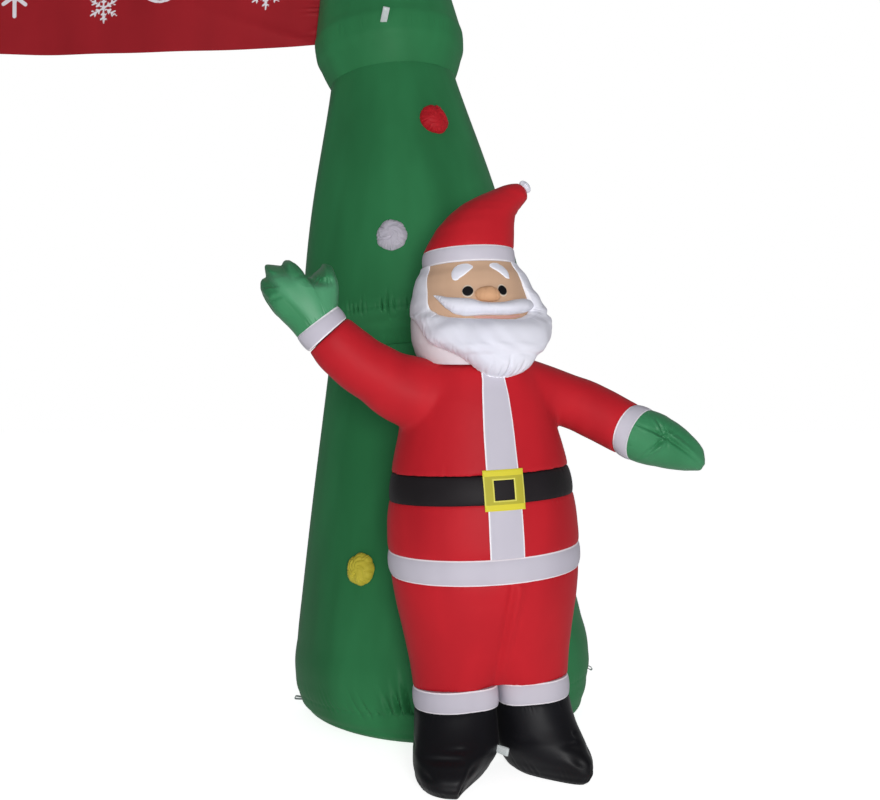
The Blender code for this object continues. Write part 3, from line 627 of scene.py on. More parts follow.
TAPER = LOWER_TIER + MIDDLE_TIER[1:] + UPPER_TIER[1:]
DEEPEST = 172  # degrees round from the back to where a seam's creases are deepest
GATHER_LEAN = 0.17  # how far the foot's creases lean, in turns a metre
FOOT_RADIUS = 0.475
FOOT_CREASE_HEIGHT = 0.122
FOOT_CREASE_WIDTH = 0.0065
# a long crease up from the foot: degrees round from the front, its direction, length and depth
FOOT_CREASES = ((-12, 98, 0.075, 0.016), (-15, 104, 0.055, 0.014), (-19, 108, 0.045, 0.009))


def tier_radius(rings, height):
    """A tier's radius, eased between its rings."""
    return eased(height, [r.height for r in rings], [r.radius for r in rings])


def tree_skin(side, height, degrees, radius):
    """Points of a tree's skin. Its axis leans in by lean*h + bend*h^2, and a section is a circle square to
    it; degrees run from the front to the outer side."""
    tilt = (TREE_LEAN + 2 * TREE_BEND * height) * np.minimum(1.0, height / LEVEL_FOOT)
    outwards = radius * np.sin(np.radians(degrees))
    x = HALF_SPAN - TREE_LEAN * height - TREE_BEND * height**2 + outwards * np.cos(tilt)
    y = -radius * np.cos(np.radians(degrees))
    z = height + outwards * np.sin(tilt)
    return ARCH_MIDDLE + np.stack(np.broadcast_arrays(side * x, y, z), axis=-1)


def tree_radius(height):
    """A tree's radius without its gathers: straight lines between all its rings."""
    return np.interp(height, [r.height for r in TAPER], [r.radius for r in TAPER])


def tree_normal(side, height, degrees):
    """The direction straight out of a tree: the cross product of a step round it and a step up it."""
    step = 0.004
    across = tree_skin(side, height, degrees + 1, tree_radius(height))
    across = across - tree_skin(side, height, degrees - 1, tree_radius(height))
    up = tree_skin(side, height + step, degrees, tree_radius(height + step))
    up = up - tree_skin(side, height - step, degrees, tree_radius(height - step))
    return unit(np.cross(across, up) * side)


def make_tree(side, prefix):
    """Each tier is a surface of revolution on the leaning axis, r(h), less the gathers at its seams, a fine
    groove on each seam, and slow waves where the upright panels pull against each other."""
    for number, (name, tier) in enumerate(TIERS.items()):
        height = spaced(tier.stops, tier.counts)[:, None]
        turn = turns(tier.columns)
        seed = 100 + 20 * number + (7 if side < 0 else 0)
        out = 0.0016 * wander(turn, seed, 5) * np.ones_like(height)
        edge = np.full(out.shape, FAR)
        for k, seam in enumerate(tier.seams):
            away = height - seam.height
            reach = np.where(away >= 0, max(seam.above, 1e-3), max(seam.below, 1e-3))
            deep = 0.10 + 0.90 * np.exp(-(((360 * turn - DEEPEST) / seam.spread) ** 2))
            lean = GATHER_LEAN * away * (seam.spread < 180)
            fold = gathers(turn + lean, away / reach, seam.count, seam.depth, 1.0, seed + 3 * k + 1, 2.4)
            out = out + deep * fold - seam.groove * np.exp(-((away / 0.004) ** 2))
            edge = np.minimum(edge, np.abs(away))
        if name == "lower":
            out = out * np.clip(height / 0.012, 0, 1)
            arc = FOOT_RADIUS * 2 * np.pi * (turn - 0.5)
            for start, aim, length, depth in FOOT_CREASES:
                at = (FOOT_RADIUS * math.radians(start), FOOT_CREASE_HEIGHT)
                out = out + crease(arc, height, at, aim, length, FOOT_CREASE_WIDTH, depth)
        if name == "upper":
            out = out * np.clip((tier.rings[-1].height - height) / 0.10, 0, 1)
        rings = tree_skin(side, height, 360 * turn - 180, tier_radius(tier.rings, height) + out)
        if name == "lower":
            rings[0, :, 2] = 0.0
        piece = tube(f"{prefix}_{name}_tier", rings, edge)
        settle(piece, "green_nylon", f"{prefix}_tree_{name}")


Puff = namedtuple("Puff", "name height degrees slot")  # degrees run from the front to the outer side
PUFFS = (
    Puff("red", 1.888, 27.5, "red_nylon"),
    Puff("white", 1.520, -7, "white_nylon"),
    Puff("yellow", 0.530, -30, "yellow_nylon"),
)
PUFF_RADIUS = 0.0480
PUFF_HEIGHT = 0.036
PUFF_CLEAR = 0.0008  # between its edge and the tree


def make_puff(side, prefix, number, puff):
    """A stuffed ball of cloth drawn together behind: height H*(1/4 + 3/4*(1 - q^2.2)^0.5) over the share q
    of its radius, with an uneven, scalloped rim and creases that run in from it."""
    seed = 300 + 10 * number + (5 if side < 0 else 0)
    share = np.concatenate([[0.86, 0.95], np.sin(np.linspace(np.pi / 2, 0.02, 34))])[:, None]
    turn = turns(180)
    corners = np.abs(np.cos(np.pi * (4 * turn + 0.35 * wander(turn, seed + 6, 1, 4)))) ** 0.5
    rim = PUFF_RADIUS * (0.955 + 0.05 * corners + 0.025 * wander(turn, seed, 3, 6))
    rise = PUFF_HEIGHT * (0.25 + 0.75 * (1 - share**2.2) ** 0.5)
    rise[:3, 0] = PUFF_HEIGHT * np.array([0.0, 0.10, 0.25])
    rise = rise * (1 + 0.07 * wander(turn, seed + 2, 2, 5) * share)
    inward = np.clip(1 - share, 0, 1) * PUFF_RADIUS
    fold = gathers(turn, inward, 17, 0.0070, 0.017, seed + 3)
    fold = fold + gathers(turn, inward, 31, 0.0030, 0.009, seed + 8)
    soft = 0.0016 * wander(turn + 0.5 * share, seed + 9, 3, 8) * np.sin(np.pi * share)
    rise = np.maximum(rise + (fold + soft) * np.clip(rise / PUFF_HEIGHT * 2, 0, 1), 0.0)
    share = share + fold / PUFF_RADIUS * 0.35 * share
    x = share * rim * np.cos(2 * np.pi * turn)
    y = share * rim * np.sin(2 * np.pi * turn)
    height = puff.height + y
    degrees = puff.degrees + np.degrees(x / tree_radius(puff.height))
    skin = tree_skin(side, height, degrees, tree_radius(height) + PUFF_CLEAR)
    rings = skin + tree_normal(side, puff.height, puff.degrees) * rise[..., None]
    piece = tube(f"{prefix}_{puff.name}_puff", rings)
    settle(piece, puff.slot, f"{prefix}_puff_{puff.name}")


# a tether loop: where it is sewn on, as for a puff, which way it stands out, and which way its tape is wide
TreeLoop = namedtuple("TreeLoop", "name height degrees out across")
TREE_LOOPS = (
    TreeLoop("inner", 0.048, -90, (-1, 0, 0.10), (0, 1, 0)),
    TreeLoop("outer", 0.095, 100, (1, 0, -0.60), (0, 1, 0)),
    TreeLoop("upper", 2.205, -1.5, (0.24, -0.8, 0.6), (1, 0, 0)),
)
LOOP_LENGTH = 0.048
LOOP_ROOT = 0.006  # how far it goes on behind its stitches
LOOP_WIDTH = 0.020
LOOP_BULB = 0.0075  # how far short of its length the middle of its rounded end lies
LOOP_CLEAR = 0.0030
LOOP_END = 0.0045  # radius of the rounded end
TAPE = 0.0013  # thickness


def make_loop(name, node, root, out, across, length=LOOP_LENGTH):
    """Tape folded into a teardrop: its half thickness eases from the sewn root to the round end, a part of a
    circle, and the tape's profile, rounded off at its edges, is carried along that line."""
    out, across = unit(np.array(out, float)), unit(np.array(across, float))
    thick = unit(np.cross(out, across))
    across = np.cross(thick, out)
    bulb = length - LOOP_BULB
    legs = np.linspace(-LOOP_ROOT, bulb, 14)
    swell = eased(legs, (-LOOP_ROOT, 0.0, 0.55 * bulb, bulb), (0.0009, 0.0016, 0.0036, LOOP_END))
    arc = np.radians(np.linspace(-84, 84, 15))
    line_out = np.concatenate([legs, bulb + LOOP_END * np.cos(arc), legs[::-1]])
    line_thick = np.concatenate([-swell, LOOP_END * np.sin(arc), swell[::-1]])
    line = np.stack([line_out, line_thick], axis=-1)
    run = unit(np.gradient(line, axis=0))
    side = np.stack([-run[:, 1], run[:, 0]], axis=-1)
    corner, half = TAPE / 2, LOOP_WIDTH / 2
    flat = half - corner
    below = [(-half, 0), (-flat, -corner), (0, -corner), (flat, -corner)]
    above = [(half, 0), (flat, corner), (0, corner), (-flat, corner)]
    profile = np.array(below + above)
    place = line[:, None, :] + side[:, None, :] * profile[None, :, 1:]
    rings = root + place[..., :1] * out + place[..., 1:] * thick + profile[None, :, :1] * across
    settle(tube(name, rings), "white_webbing", node)


def make_tree_loops(side, prefix):
    """A tree's three tether loops."""
    for loop in TREE_LOOPS:
        out = np.array([side * loop.out[0], *loop.out[1:]], float)
        clear = tree_normal(side, loop.height, loop.degrees)
        root = tree_skin(side, loop.height, loop.degrees, tree_radius(loop.height)) + clear * LOOP_CLEAR
        make_loop(f"{prefix}_{loop.name}_tab", f"{prefix}_loop_{loop.name}", root, out, loop.across)


# ---------------------------------------------------------------- banner

BANNER_FOOT = 2.222
BANNER_TOP = 2.780
BANNER_TALL = BANNER_TOP - BANNER_FOOT
BANNER_SAG = 0.030
BANNER_SAG_AT_TOP = 0.012
BANNER_CLEAR = 0.0012  # between its ends and the trees
BANNER_HALF_THICK = 0.0007

# a snowflake: right of the banner's middle, above its foot, and an arm's length
SNOWFLAKES = ((0.0, 0.300, 0.175), (0.300, 0.150, 0.050), (0.845, 0.182, 0.052), (0.560, 0.415, 0.070))
# a scroll: its eye's place, the radius it starts from, its turns, how fast it widens, and where it starts
Scroll = namedtuple("Scroll", "x y radius turns growth start")
SCROLLS = (
    Scroll(0.480, 0.235, 0.012, 1.9, 0.165, 20),
    Scroll(0.690, 0.215, 0.010, 1.6, 0.175, 200),
    Scroll(0.300, 0.390, 0.008, 1.5, 0.170, -40),
)


def snowflake_gap(x, y, size):
    """Distance outside a six-armed snowflake about 0, 0: the plane folds into one half arm, which has a
    stem and two twigs, each a straight stroke. A stroke is wider in a larger snowflake."""
    far = np.hypot(x, y)
    angle = np.abs((np.arctan2(x, y) + np.pi / 6) % (np.pi / 3) - np.pi / 6)
    a, b = far * np.cos(angle), far * np.sin(angle)
    gap = line_gap(a, b, (0, 0), (size, 0))
    for root, twig in ((0.34, 0.20), (0.62, 0.26)):
        end = (size * (root + twig * 0.6), size * twig * 0.8)
        gap = np.minimum(gap, line_gap(a, b, (size * root, 0), end))
    return gap - 0.030 * size - 0.0012


def scroll_gap(x, y, scroll):
    """Distance outside a spiral stroke, r = r0*exp(growth*angle), thickest in its middle like a brush's."""
    angle = np.linspace(0, 2 * np.pi * scroll.turns, 150)
    radius = scroll.radius * np.exp(scroll.growth * angle)
    turned = angle + math.radians(scroll.start)
    path_x, path_y = scroll.x + radius * np.cos(turned), scroll.y + radius * np.sin(turned)
    half = 0.0030 + 0.0085 * np.sin(np.pi * angle / angle[-1]) ** 1.3
    gap = np.full(x.shape, FAR)
    for px, py, h in zip(path_x, path_y, half):
        gap = np.minimum(gap, np.hypot(x - px, y - py) - h)
    return gap


def banner_ink(x, y):
    """Distance outside the banner's printed shapes, alike to the left and right of its middle."""
    x = np.abs(x)
    gap = np.full(x.shape, FAR)
    for across, up, size in SNOWFLAKES:
        gap = np.minimum(gap, snowflake_gap(x - across, y - up, size))
    for scroll in SCROLLS:
        gap = np.minimum(gap, scroll_gap(x, y, scroll))
    return gap


def make_banner():
    """A sheet between the two upper tiers. u runs along it and v up it: it sags like 1 - u^2, waves slowly
    to and fro, and has short creases and one long slanting one where its ends are sewn to the trees."""
    u = np.linspace(-1, 1, 451)[None, :]
    v = np.linspace(0, 1, 109)[:, None]
    level = BANNER_FOOT + BANNER_TALL * v
    height = level
    for _ in range(5):  # finds where on the leaning tree its side has the banner's level
        skin = tree_skin(1, height, -90.0, tree_radius(height))
        height = height + level - skin[..., 2]
    reach = skin[..., 0] - ARCH_MIDDLE[0] - BANNER_CLEAR
    hang = 1 - u**2
    z = level - hang * (BANNER_SAG + (BANNER_SAG_AT_TOP - BANNER_SAG) * v)
    x = u * reach
    from_end = reach - np.abs(x)
    y = 0.006 * np.sin(3 * np.pi * u) * hang * (1 - v)
    y = y + 0.004 * wander((u + 1) / 2 + 0.15 * v, 41, 2, 6) * hang
    y = y + gathers(v * 0.9, from_end, 15, 0.010, 0.055, 43)
    slant = np.exp(-(((v * 0.56 - 0.35 * from_end) / 0.02) ** 2))
    y = y - 0.005 * slant * np.exp(-((from_end / 0.30) ** 2))
    face = np.stack(np.broadcast_arrays(x, y, z), axis=-1) + ARCH_MIDDLE
    half = np.array([0.0, BANNER_HALF_THICK, 0.0])
    print_and_painted_light = banner_ink(*np.broadcast_arrays(x, BANNER_TALL * v))
    piece = sheet("banner_cloth", face + half, face - half, print_and_painted_light=print_and_painted_light)
    settle(piece, "red_nylon", "banner", material="banner")


# ---------------------------------------------------------------- figure


def leaned(x, y, height):
    """Points at x, y from the spine, in the figure's frame: it leans, and so do sections above the
    ankles."""
    tilt = FIGURE_LEAN * np.clip(height / LEVEL_ANKLE, 0, 1)
    return np.stack(np.broadcast_arrays(x - FIGURE_LEAN * height, y, height + tilt * x), axis=-1)


def placed(points):
    """From the figure's frame to the object's: turned about its foot, and set down."""
    c, s = math.cos(FIGURE_TURN), math.sin(FIGURE_TURN)
    x, y, z = points[..., 0], points[..., 1], points[..., 2]
    return np.stack([c * x - s * y, s * x + c * y, z], axis=-1) + ARCH_MIDDLE + FIGURE_FOOT


# a section round the spine: its height, half width and half depth, how much lower its front lies than its
# middle, and how deep the cleft between the legs is
Girth = namedtuple("Girth", "height half_width half_depth dip cleft", defaults=(0, 0))
BODY = (
    Girth(0.253, 0.2140, 0.122, 0.000, 0.36),
    Girth(0.300, 0.2180, 0.138, 0.000, 0.20),
    Girth(0.360, 0.2260, 0.158, 0.000, 0.11),
    Girth(0.430, 0.2380, 0.180, 0.004, 0.05),
    Girth(0.500, 0.2500, 0.196, 0.011, 0.02),
    Girth(0.555, 0.2565, 0.203, 0.017),
    Girth(0.588, 0.2600, 0.207, 0.017),
    Girth(0.621, 0.2605, 0.210, 0.017),
    Girth(0.670, 0.2580, 0.212, 0.014),
    Girth(0.753, 0.2510, 0.210, 0.011),
    Girth(0.826, 0.2410, 0.203, 0.012),
    Girth(0.876, 0.2310, 0.195, 0.008),
    Girth(0.930, 0.2170, 0.187, 0.005),
    Girth(1.000, 0.2030, 0.176, 0.005),
    Girth(1.050, 0.1880, 0.165, 0.008),
    Girth(1.090, 0.1690, 0.154, 0.013),
    Girth(1.120, 0.1470, 0.145, 0.020),
)
HEAD = (
    Girth(1.120, 0.1470, 0.1450, 0.020),
    Girth(1.155, 0.1610, 0.1550, 0.010),
    Girth(1.200, 0.1670, 0.1620),
    Girth(1.250, 0.1640, 0.1600),
    Girth(1.300, 0.1535, 0.1515),
    Girth(1.335, 0.1440, 0.1420),
    Girth(1.370, 0.1262, 0.1262),
    Girth(1.412, 0.1235, 0.1235),
)
CLEFT_WIDTH = 0.25  # as a share of the half width


def column(table, field, height):
    """One field of a table, eased between its rows."""
    return eased(height, [row.height for row in table], [getattr(row, field) for row in table])


def section(table, angle, height, out=0.0):
    """Points round the spine, in the figure's frame: an ellipse w*cos, d*sin, drawn in at its middle by the
    cleft, lower in front by the dip, and moved out along its normal."""
    wide, deep, dip, cleft = (column(table, field, height) for field in Girth._fields[1:])
    cos, sin = np.cos(angle), np.sin(angle)
    pinch = 1 - cleft * np.exp(-((cos / CLEFT_WIDTH) ** 2))
    length = np.hypot(cos / wide, sin / deep)
    x = wide * cos + out * cos / wide / length
    y = deep * sin * pinch + out * sin / deep / length
    return leaned(x, y, height + dip * sin)


def between(low, high, rows):
    """Places from just past one seam to just before the next, their distances from both, and 4t(1 - t)."""
    share = crowded(rows)[:, None]
    at = low + SEAM_CLEAR + (high - low - 2 * SEAM_CLEAR) * share
    return at, at - low, high - at, 4 * share * (1 - share)


def both_seams(turn, low, high, count, depth, reach, seeds, pull):
    """How far cloth is drawn in between two seams: gathers and a groove at each."""
    at_low = gathers(turn, low, count, depth, reach, seeds[0]) + groove(low, pull)
    return at_low + gathers(turn, high, count, depth, reach, seeds[1]) + groove(high, pull)


# a panel round the figure: how far it bulges between its seams, and the count, depth and reach of the
# gathers at each of them
Band = namedtuple("Band", "name table low high rows bulge count depth reach slot")
BANDS = (
    Band("trousers", BODY, CUFF_TOP, HEM_FOOT, 62, 0.000, 54, 0.0022, 0.016, "red_nylon"),
    Band("coat_hem", BODY, HEM_FOOT, HEM_TOP, 22, 0.004, 60, 0.0012, 0.010, "white_nylon"),
    Band("coat_skirt", BODY, HEM_TOP, BELT_FOOT, 32, 0.002, 60, 0.0014, 0.014, "red_nylon"),
    Band("belt", BODY, BELT_FOOT, BELT_TOP, 22, 0.002, 60, 0.0012, 0.010, "black_nylon"),
    Band("hat_band", HEAD, HAT_BAND_FOOT, HAT_BAND_TOP, 18, 0.002, 44, 0.0010, 0.008, "white_nylon"),
)
TROUSERS_RADIUS = 0.25  # by which an angle round the trousers is measured as an arc
# one long crease: where it starts on the flattened cloth, its direction, length, width and depth
TROUSERS_CREASE = ((0.022, 0.545), -98, 0.26, 0.009, 0.0065)


def make_band(number, band):
    """A ring-shaped panel between two seams: the section's ellipse, swollen by 4t(1 - t) between the seams,
    with a groove on each seam, gathers beside it, and on the trousers one long crease."""
    height, low, high, swell = between(band.low, band.high, band.rows)
    turn = turns(320)
    angle = FRONT + np.pi + 2 * np.pi * turn
    seed = 500 + 10 * number
    out = band.bulge * swell
    out = out + both_seams(turn, low, high, band.count, band.depth, band.reach, (seed, seed + 3), 0.0022)
    out = out + 0.0012 * wander(turn, seed + 6, 3, 5) * np.sin(np.pi * crowded(band.rows))[:, None]
    if band.name == "trousers":
        arc = TROUSERS_RADIUS * ((angle - FRONT + np.pi) % (2 * np.pi) - np.pi)
        out = out + crease(arc, height, *TROUSERS_CREASE)
    rings = placed(section(band.table, angle, height, out))
    piece = tube(f"{band.name}_panel", rings, np.minimum(low, high))
    settle(piece, band.slot, band.name, material="belt" if band.name == "belt" else None)


# ---------------------------------------------------------------- arms and coat

# along an arm, in the figure's frontal plane: right of its foot, height, half breadth, half depth, how far
# back
Station = namedtuple("Station", "x z breadth depth back", defaults=(0,))
# front is where the arm's middle lies, wrist and hand are the stations where its sleeve and its cuff end,
# and its rings lie askew there: their fronts by skew nearer the body, and their tops by tilt times as much
# nearer the hand
Arm = namedtuple("Arm", "front wrist hand skew tilt stations")
ARMS = {
    "raised": Arm(
        front=-0.030,
        wrist=6,
        hand=7,
        skew=0.0,
        tilt=0.0,
        stations=(
            Station(-0.050, 0.990, 0.104, 0.104),
            Station(-0.150, 1.010, 0.102, 0.100),
            Station(-0.244, 1.034, 0.097, 0.092),
            Station(-0.331, 1.077, 0.0805, 0.079),
            Station(-0.406, 1.128, 0.0755, 0.071),
            Station(-0.446, 1.165, 0.0705, 0.067),
            Station(-0.460, 1.1785, 0.0662, 0.063),
            Station(-0.487, 1.2130, 0.0672, 0.060),
            Station(-0.521, 1.256, 0.0800, 0.058),
            Station(-0.549, 1.291, 0.0800, 0.053, 0.006),
            Station(-0.571, 1.319, 0.0730, 0.045, 0.016),
            Station(-0.586, 1.341, 0.0530, 0.034, 0.026),
            Station(-0.594, 1.355, 0.0240, 0.016, 0.034),
        ),
    ),
    "low": Arm(
        front=-0.012,
        wrist=4,
        hand=5,
        skew=0.060,
        tilt=0.13,
        stations=(
            Station(0.020, 1.050, 0.092, 0.092),
            Station(0.100, 1.036, 0.084, 0.090),
            Station(0.205, 1.009, 0.0730, 0.077),
            Station(0.280, 0.979, 0.0745, 0.074),
            Station(0.377, 0.9315, 0.0740, 0.071),
            Station(0.4185, 0.9145, 0.0757, 0.069),
            Station(0.460, 0.8960, 0.0745, 0.062),
            Station(0.529, 0.868, 0.0570, 0.046),
            Station(0.575, 0.849, 0.0340, 0.028),
            Station(0.598, 0.841, 0.0120, 0.010),
        ),
    ),
}


def run_lengths(arm):
    """How far along an arm each of its stations lies."""
    return lengths(np.array([(s.x, s.z) for s in arm.stations]))


def arm_frame(arm, run):
    """Centre line, its direction, and the half breadth, half depth and setback, at lengths along an arm."""
    at = run_lengths(arm)
    x, z, breadth, depth, back = (
        eased(run, at, [getattr(s, field) for s in arm.stations]) for field in Station._fields
    )
    line = np.stack([x, z], axis=-1)
    step = np.gradient(line, axis=0)
    return line, unit(step), breadth, depth, back


def arm_skew(arm, run):
    """How far a ring's front lies behind its middle: it grows over the sleeve and goes at the tip."""
    at = run_lengths(arm)
    wrist, hand = at[arm.wrist], at[arm.hand]
    return arm.skew * eased(run, (0, 0.05, wrist, hand, at[-1]), (0, 0, 1, 1, 0.05))


def arm_rings(arm, run, turn, out=0.0):
    """Points of an arm, in the figure's frame: an ellipse b*cos, d*sin on the centre line, slid along it by
    the skew times sin + tilt*cos."""
    line, ahead, breadth, depth, back = arm_frame(arm, run)
    cos, sin = np.cos(2 * np.pi * turn), np.sin(2 * np.pi * turn)
    across = (breadth[:, None] + out) * cos
    slide = arm_skew(arm, run)[:, None] * (sin + arm.tilt * cos)
    x = line[:, :1] - ahead[:, 1:] * across + ahead[:, :1] * slide
    z = line[:, 1:] + ahead[:, :1] * across + ahead[:, 1:] * slide
    y = arm.front + back[:, None] + (depth[:, None] + out) * sin
    return np.stack([x, y, z], axis=-1)


def arm_place(arm, points):
    """For points in the figure's frame: how far along the arm they lie, their turn round it, how far outside
    its skin they are, and how far across its middle."""
    at = np.linspace(0, run_lengths(arm)[-1], 160)
    line, ahead, breadth, depth, back = arm_frame(arm, at)
    flat = points[:, [0, 2]]
    gap = flat[:, None, :] - line[None, :, :]
    nearest = np.argmin((gap**2).sum(axis=-1), axis=1)
    offset = flat - line[nearest]
    across = -offset[:, 0] * ahead[nearest, 1] + offset[:, 1] * ahead[nearest, 0]
    level = points[:, 1] - arm.front - back[nearest]
    a, b = across / breadth[nearest], level / depth[nearest]
    beyond = (offset * ahead[nearest]).sum(axis=-1)
    slide = np.clip(b, -1, 1) + arm.tilt * np.clip(a, -1, 1)
    run = at[nearest] + beyond - arm_skew(arm, at[nearest]) * slide
    return run, np.arctan2(b, a) / (2 * np.pi), (np.hypot(a, b) - 1) * breadth[nearest], across


def body_place(points):
    """For points in the figure's frame: their height on the spine, angle round it, and how far outside they
    are. Leaning and the dip are undone in a few rounds, because both depend on the height."""
    upright = (points[:, 2] - FIGURE_LEAN * points[:, 0]) / (1 + FIGURE_LEAN**2)
    height = upright
    for _ in range(3):
        x = points[:, 0] + FIGURE_LEAN * height
        deep = column(BODY, "half_depth", height)
        height = upright - column(BODY, "dip", height) * np.clip(points[:, 1] / deep, -1, 1)
    wide, deep = column(BODY, "half_width", height), column(BODY, "half_depth", height)
    a, b = x / wide, points[:, 1] / deep
    return height, np.arctan2(b, a), (np.hypot(a, b) - 1) * deep


COAT_VOXEL = 0.0052  # the size of the fused coat's faces
SMOOTHING_ROUNDS = 90


def make_coat():
    """Chest and sleeves are cut in one: the chest's ellipses and the sleeves' tubes are fused, and the skin
    is relaxed where they meet, more over the shoulder than under the arm. Gathers follow at the four
    seams."""
    height = np.linspace(BELT_TOP + SEAM_CLEAR, NECK - SEAM_CLEAR, 60)[:, None]
    parts = [section(BODY, 2 * np.pi * turns(240), height)]
    for arm in ARMS.values():
        run = np.linspace(0, run_lengths(arm)[arm.wrist] - SEAM_CLEAR, 60)
        parts.append(arm_rings(arm, run, turns(120)))
    points, quads = fused(parts, COAT_VOXEL)

    height, _, outside = body_place(points)
    weight = np.zeros(len(points))
    for arm in ARMS.values():
        run, _, clear, across = arm_place(arm, points)
        junction = np.abs(outside) + np.abs(clear)
        over = np.where(across * np.sign(arm.stations[-1].x) > 0, 1.0, 0.06)
        near = np.exp(-((junction / 0.055) ** 2)) * over
        ends = np.clip((run_lengths(arm)[arm.wrist] - run) / 0.05, 0, 1)
        weight = np.maximum(weight, near * ends)
    weight = weight * np.clip((height - BELT_TOP) / 0.04, 0, 1)
    points = relaxed(points, quads, np.clip(weight + 0.02, 0, 1), SMOOTHING_ROUNDS)

    height, angle, outside = body_place(points)
    low, high = height - BELT_TOP, NECK - height
    turn = angle / (2 * np.pi)
    on_chest = np.exp(-((outside / 0.02) ** 2))
    out = (gathers(turn, low, 60, 0.0018, 0.016, 560) + groove(low, 0.0022)) * on_chest
    out += gathers(turn, high, 34, 0.0030, 0.016, 564) * on_chest
    seam = np.where(on_chest > 0.5, np.minimum(low, high), FAR)
    for number, arm in enumerate(ARMS.values()):
        run, turn, clear, _ = arm_place(arm, points)
        away = run_lengths(arm)[arm.wrist] - run
        on_sleeve = np.exp(-((clear / 0.02) ** 2)) * (away < 0.2)
        fold = gathers(turn, away, 26, 0.0022, 0.014, 570 + 5 * number)
        out += (fold + groove(np.abs(away), 0.0018)) * on_sleeve
        seam = np.where(away < 0.05, np.minimum(seam, np.abs(away)), seam)
    points = points + quad_normals(points, quads) * out[:, None]
    cloth = np.stack([points[:, 0] + points[:, 1], points[:, 2]], axis=-1)
    piece = as_object("coat_upper_panel", placed(points), [quads], [cloth[quads]], np.maximum(seam, 0))
    settle(piece, "red_nylon", "coat_upper")


def make_sleeve_cuff(name, arm, seed):
    """A white band: the arm's own tube between two stations, swollen by 4t(1 - t) between its seams."""
    at = run_lengths(arm)
    run, low, high, swell = between(at[arm.wrist], at[arm.hand], 20)
    turn = turns(140)
    out = 0.0025 * swell + both_seams(turn, low, high, 24, 0.0012, 0.010, (seed, seed + 4), 0.0018)
    rings = placed(arm_rings(arm, run[:, 0], turn, out))
    piece = tube(f"{name}_sleeve_band", rings, np.minimum(low, high))
    settle(piece, "white_nylon", f"sleeve_cuff_{name}")


# a mitten is two cloths sewn together round an outline: its two sides run from the wrist to the tip, and
# the tip joins them. In metres, in the figure's frontal plane: right of its foot, and height
Outline = namedtuple("Outline", "left tip right")
RAISED_OUTLINE = Outline(
    ((-0.540, 1.173), (-0.555, 1.190), (-0.584, 1.219), (-0.599, 1.237), (-0.606, 1.257)),
    (
        (-0.606, 1.257),
        (-0.619, 1.272),
        (-0.629, 1.290),
        (-0.633, 1.308),
        (-0.629, 1.325),
        (-0.619, 1.333),
        (-0.622, 1.357),
        (-0.613, 1.365),
        (-0.581, 1.363),
        (-0.572, 1.375),
        (-0.563, 1.378),
        (-0.549, 1.373),
        (-0.530, 1.358),
        (-0.508, 1.338),
        (-0.495, 1.345),
        (-0.478, 1.359),
        (-0.466, 1.371),
        (-0.454, 1.369),
        (-0.441, 1.353),
        (-0.434, 1.336),
    ),
    ((-0.436, 1.253), (-0.433, 1.270), (-0.432, 1.300), (-0.434, 1.336)),
)
LOW_OUTLINE = Outline(
    ((0.381, 0.848), (0.415, 0.837), (0.459, 0.828), (0.507, 0.819), (0.545, 0.815)),
    (
        (0.545, 0.815),
        (0.580, 0.815),
        (0.598, 0.826),
        (0.603, 0.838),
        (0.601, 0.860),
        (0.594, 0.879),
        (0.580, 0.894),
    ),
    ((0.454, 0.981), (0.480, 0.973), (0.505, 0.959), (0.533, 0.941), (0.555, 0.921), (0.580, 0.894)),
)


# an outline round the patch of painted light on the raised palm, where light comes through the cloth
RAISED_PALM = (
    (-0.608, 1.312),
    (-0.616, 1.328),
    (-0.568, 1.334),
    (-0.537, 1.317),
    (-0.518, 1.306),
    (-0.478, 1.309),
    (-0.434, 1.337),
    (-0.400, 1.240),
    (-0.480, 1.160),
    (-0.506, 1.199),
    (-0.518, 1.219),
    (-0.540, 1.242),
    (-0.566, 1.264),
    (-0.588, 1.281),
)
RAISED_LENGTH = 0.16  # from wrist to tip
FINGERS_FOOT = 1.295
# a crease between fingers: where it starts, its direction, length and depth
FINGER_CREASES = (
    ((-0.615, 1.332), -25, 0.020, 0.0060),
    ((-0.577, 1.362), -80, 0.022, 0.0070),
    ((-0.606, 1.262), 20, 0.022, 0.0040),
    ((-0.508, 1.338), 205, 0.030, 0.0060),
)
THUMB_TIP = (-0.466, 1.358)


def raised_relief(x, z, u, v, face):
    """Gathers at the wrist and the tip, creases between the fingers, and a curved hollow of small folds
    round the thumb."""
    out = gathers(u, v * RAISED_LENGTH, 11, 0.0022, 0.016, 590 + face)
    out = out + gathers(u, (1 - v) * RAISED_LENGTH, 15, 0.0045, 0.030, 594 + face)
    for at, degrees, length, depth in FINGER_CREASES:
        out = out + crease(x, z, at, degrees, length, 0.0055, depth)
    fingers = np.clip(1 + outline_gap(x, z, RAISED_PALM) / 0.012, 0, 1) * (z > FINGERS_FOOT)
    out = out - 0.005 * fingers
    far = np.hypot(x - THUMB_TIP[0], z - THUMB_TIP[1])
    about = np.arctan2(z - THUMB_TIP[1], x - THUMB_TIP[0]) / (2 * np.pi)
    out = out - 0.010 * np.exp(-(((far - 0.047) / 0.012) ** 2))
    out = out + gathers(about, np.abs(far - 0.045), 17, 0.0075, 0.018, 598)
    return out + 0.004 * np.exp(-(((x + 0.474) / 0.006) ** 2) - ((z - 1.325) / 0.005) ** 2)


LOW_LENGTH = 0.17  # from wrist to tip
TACK = (0.460, 0.912)  # where the lowered mitten's two cloths are caught together
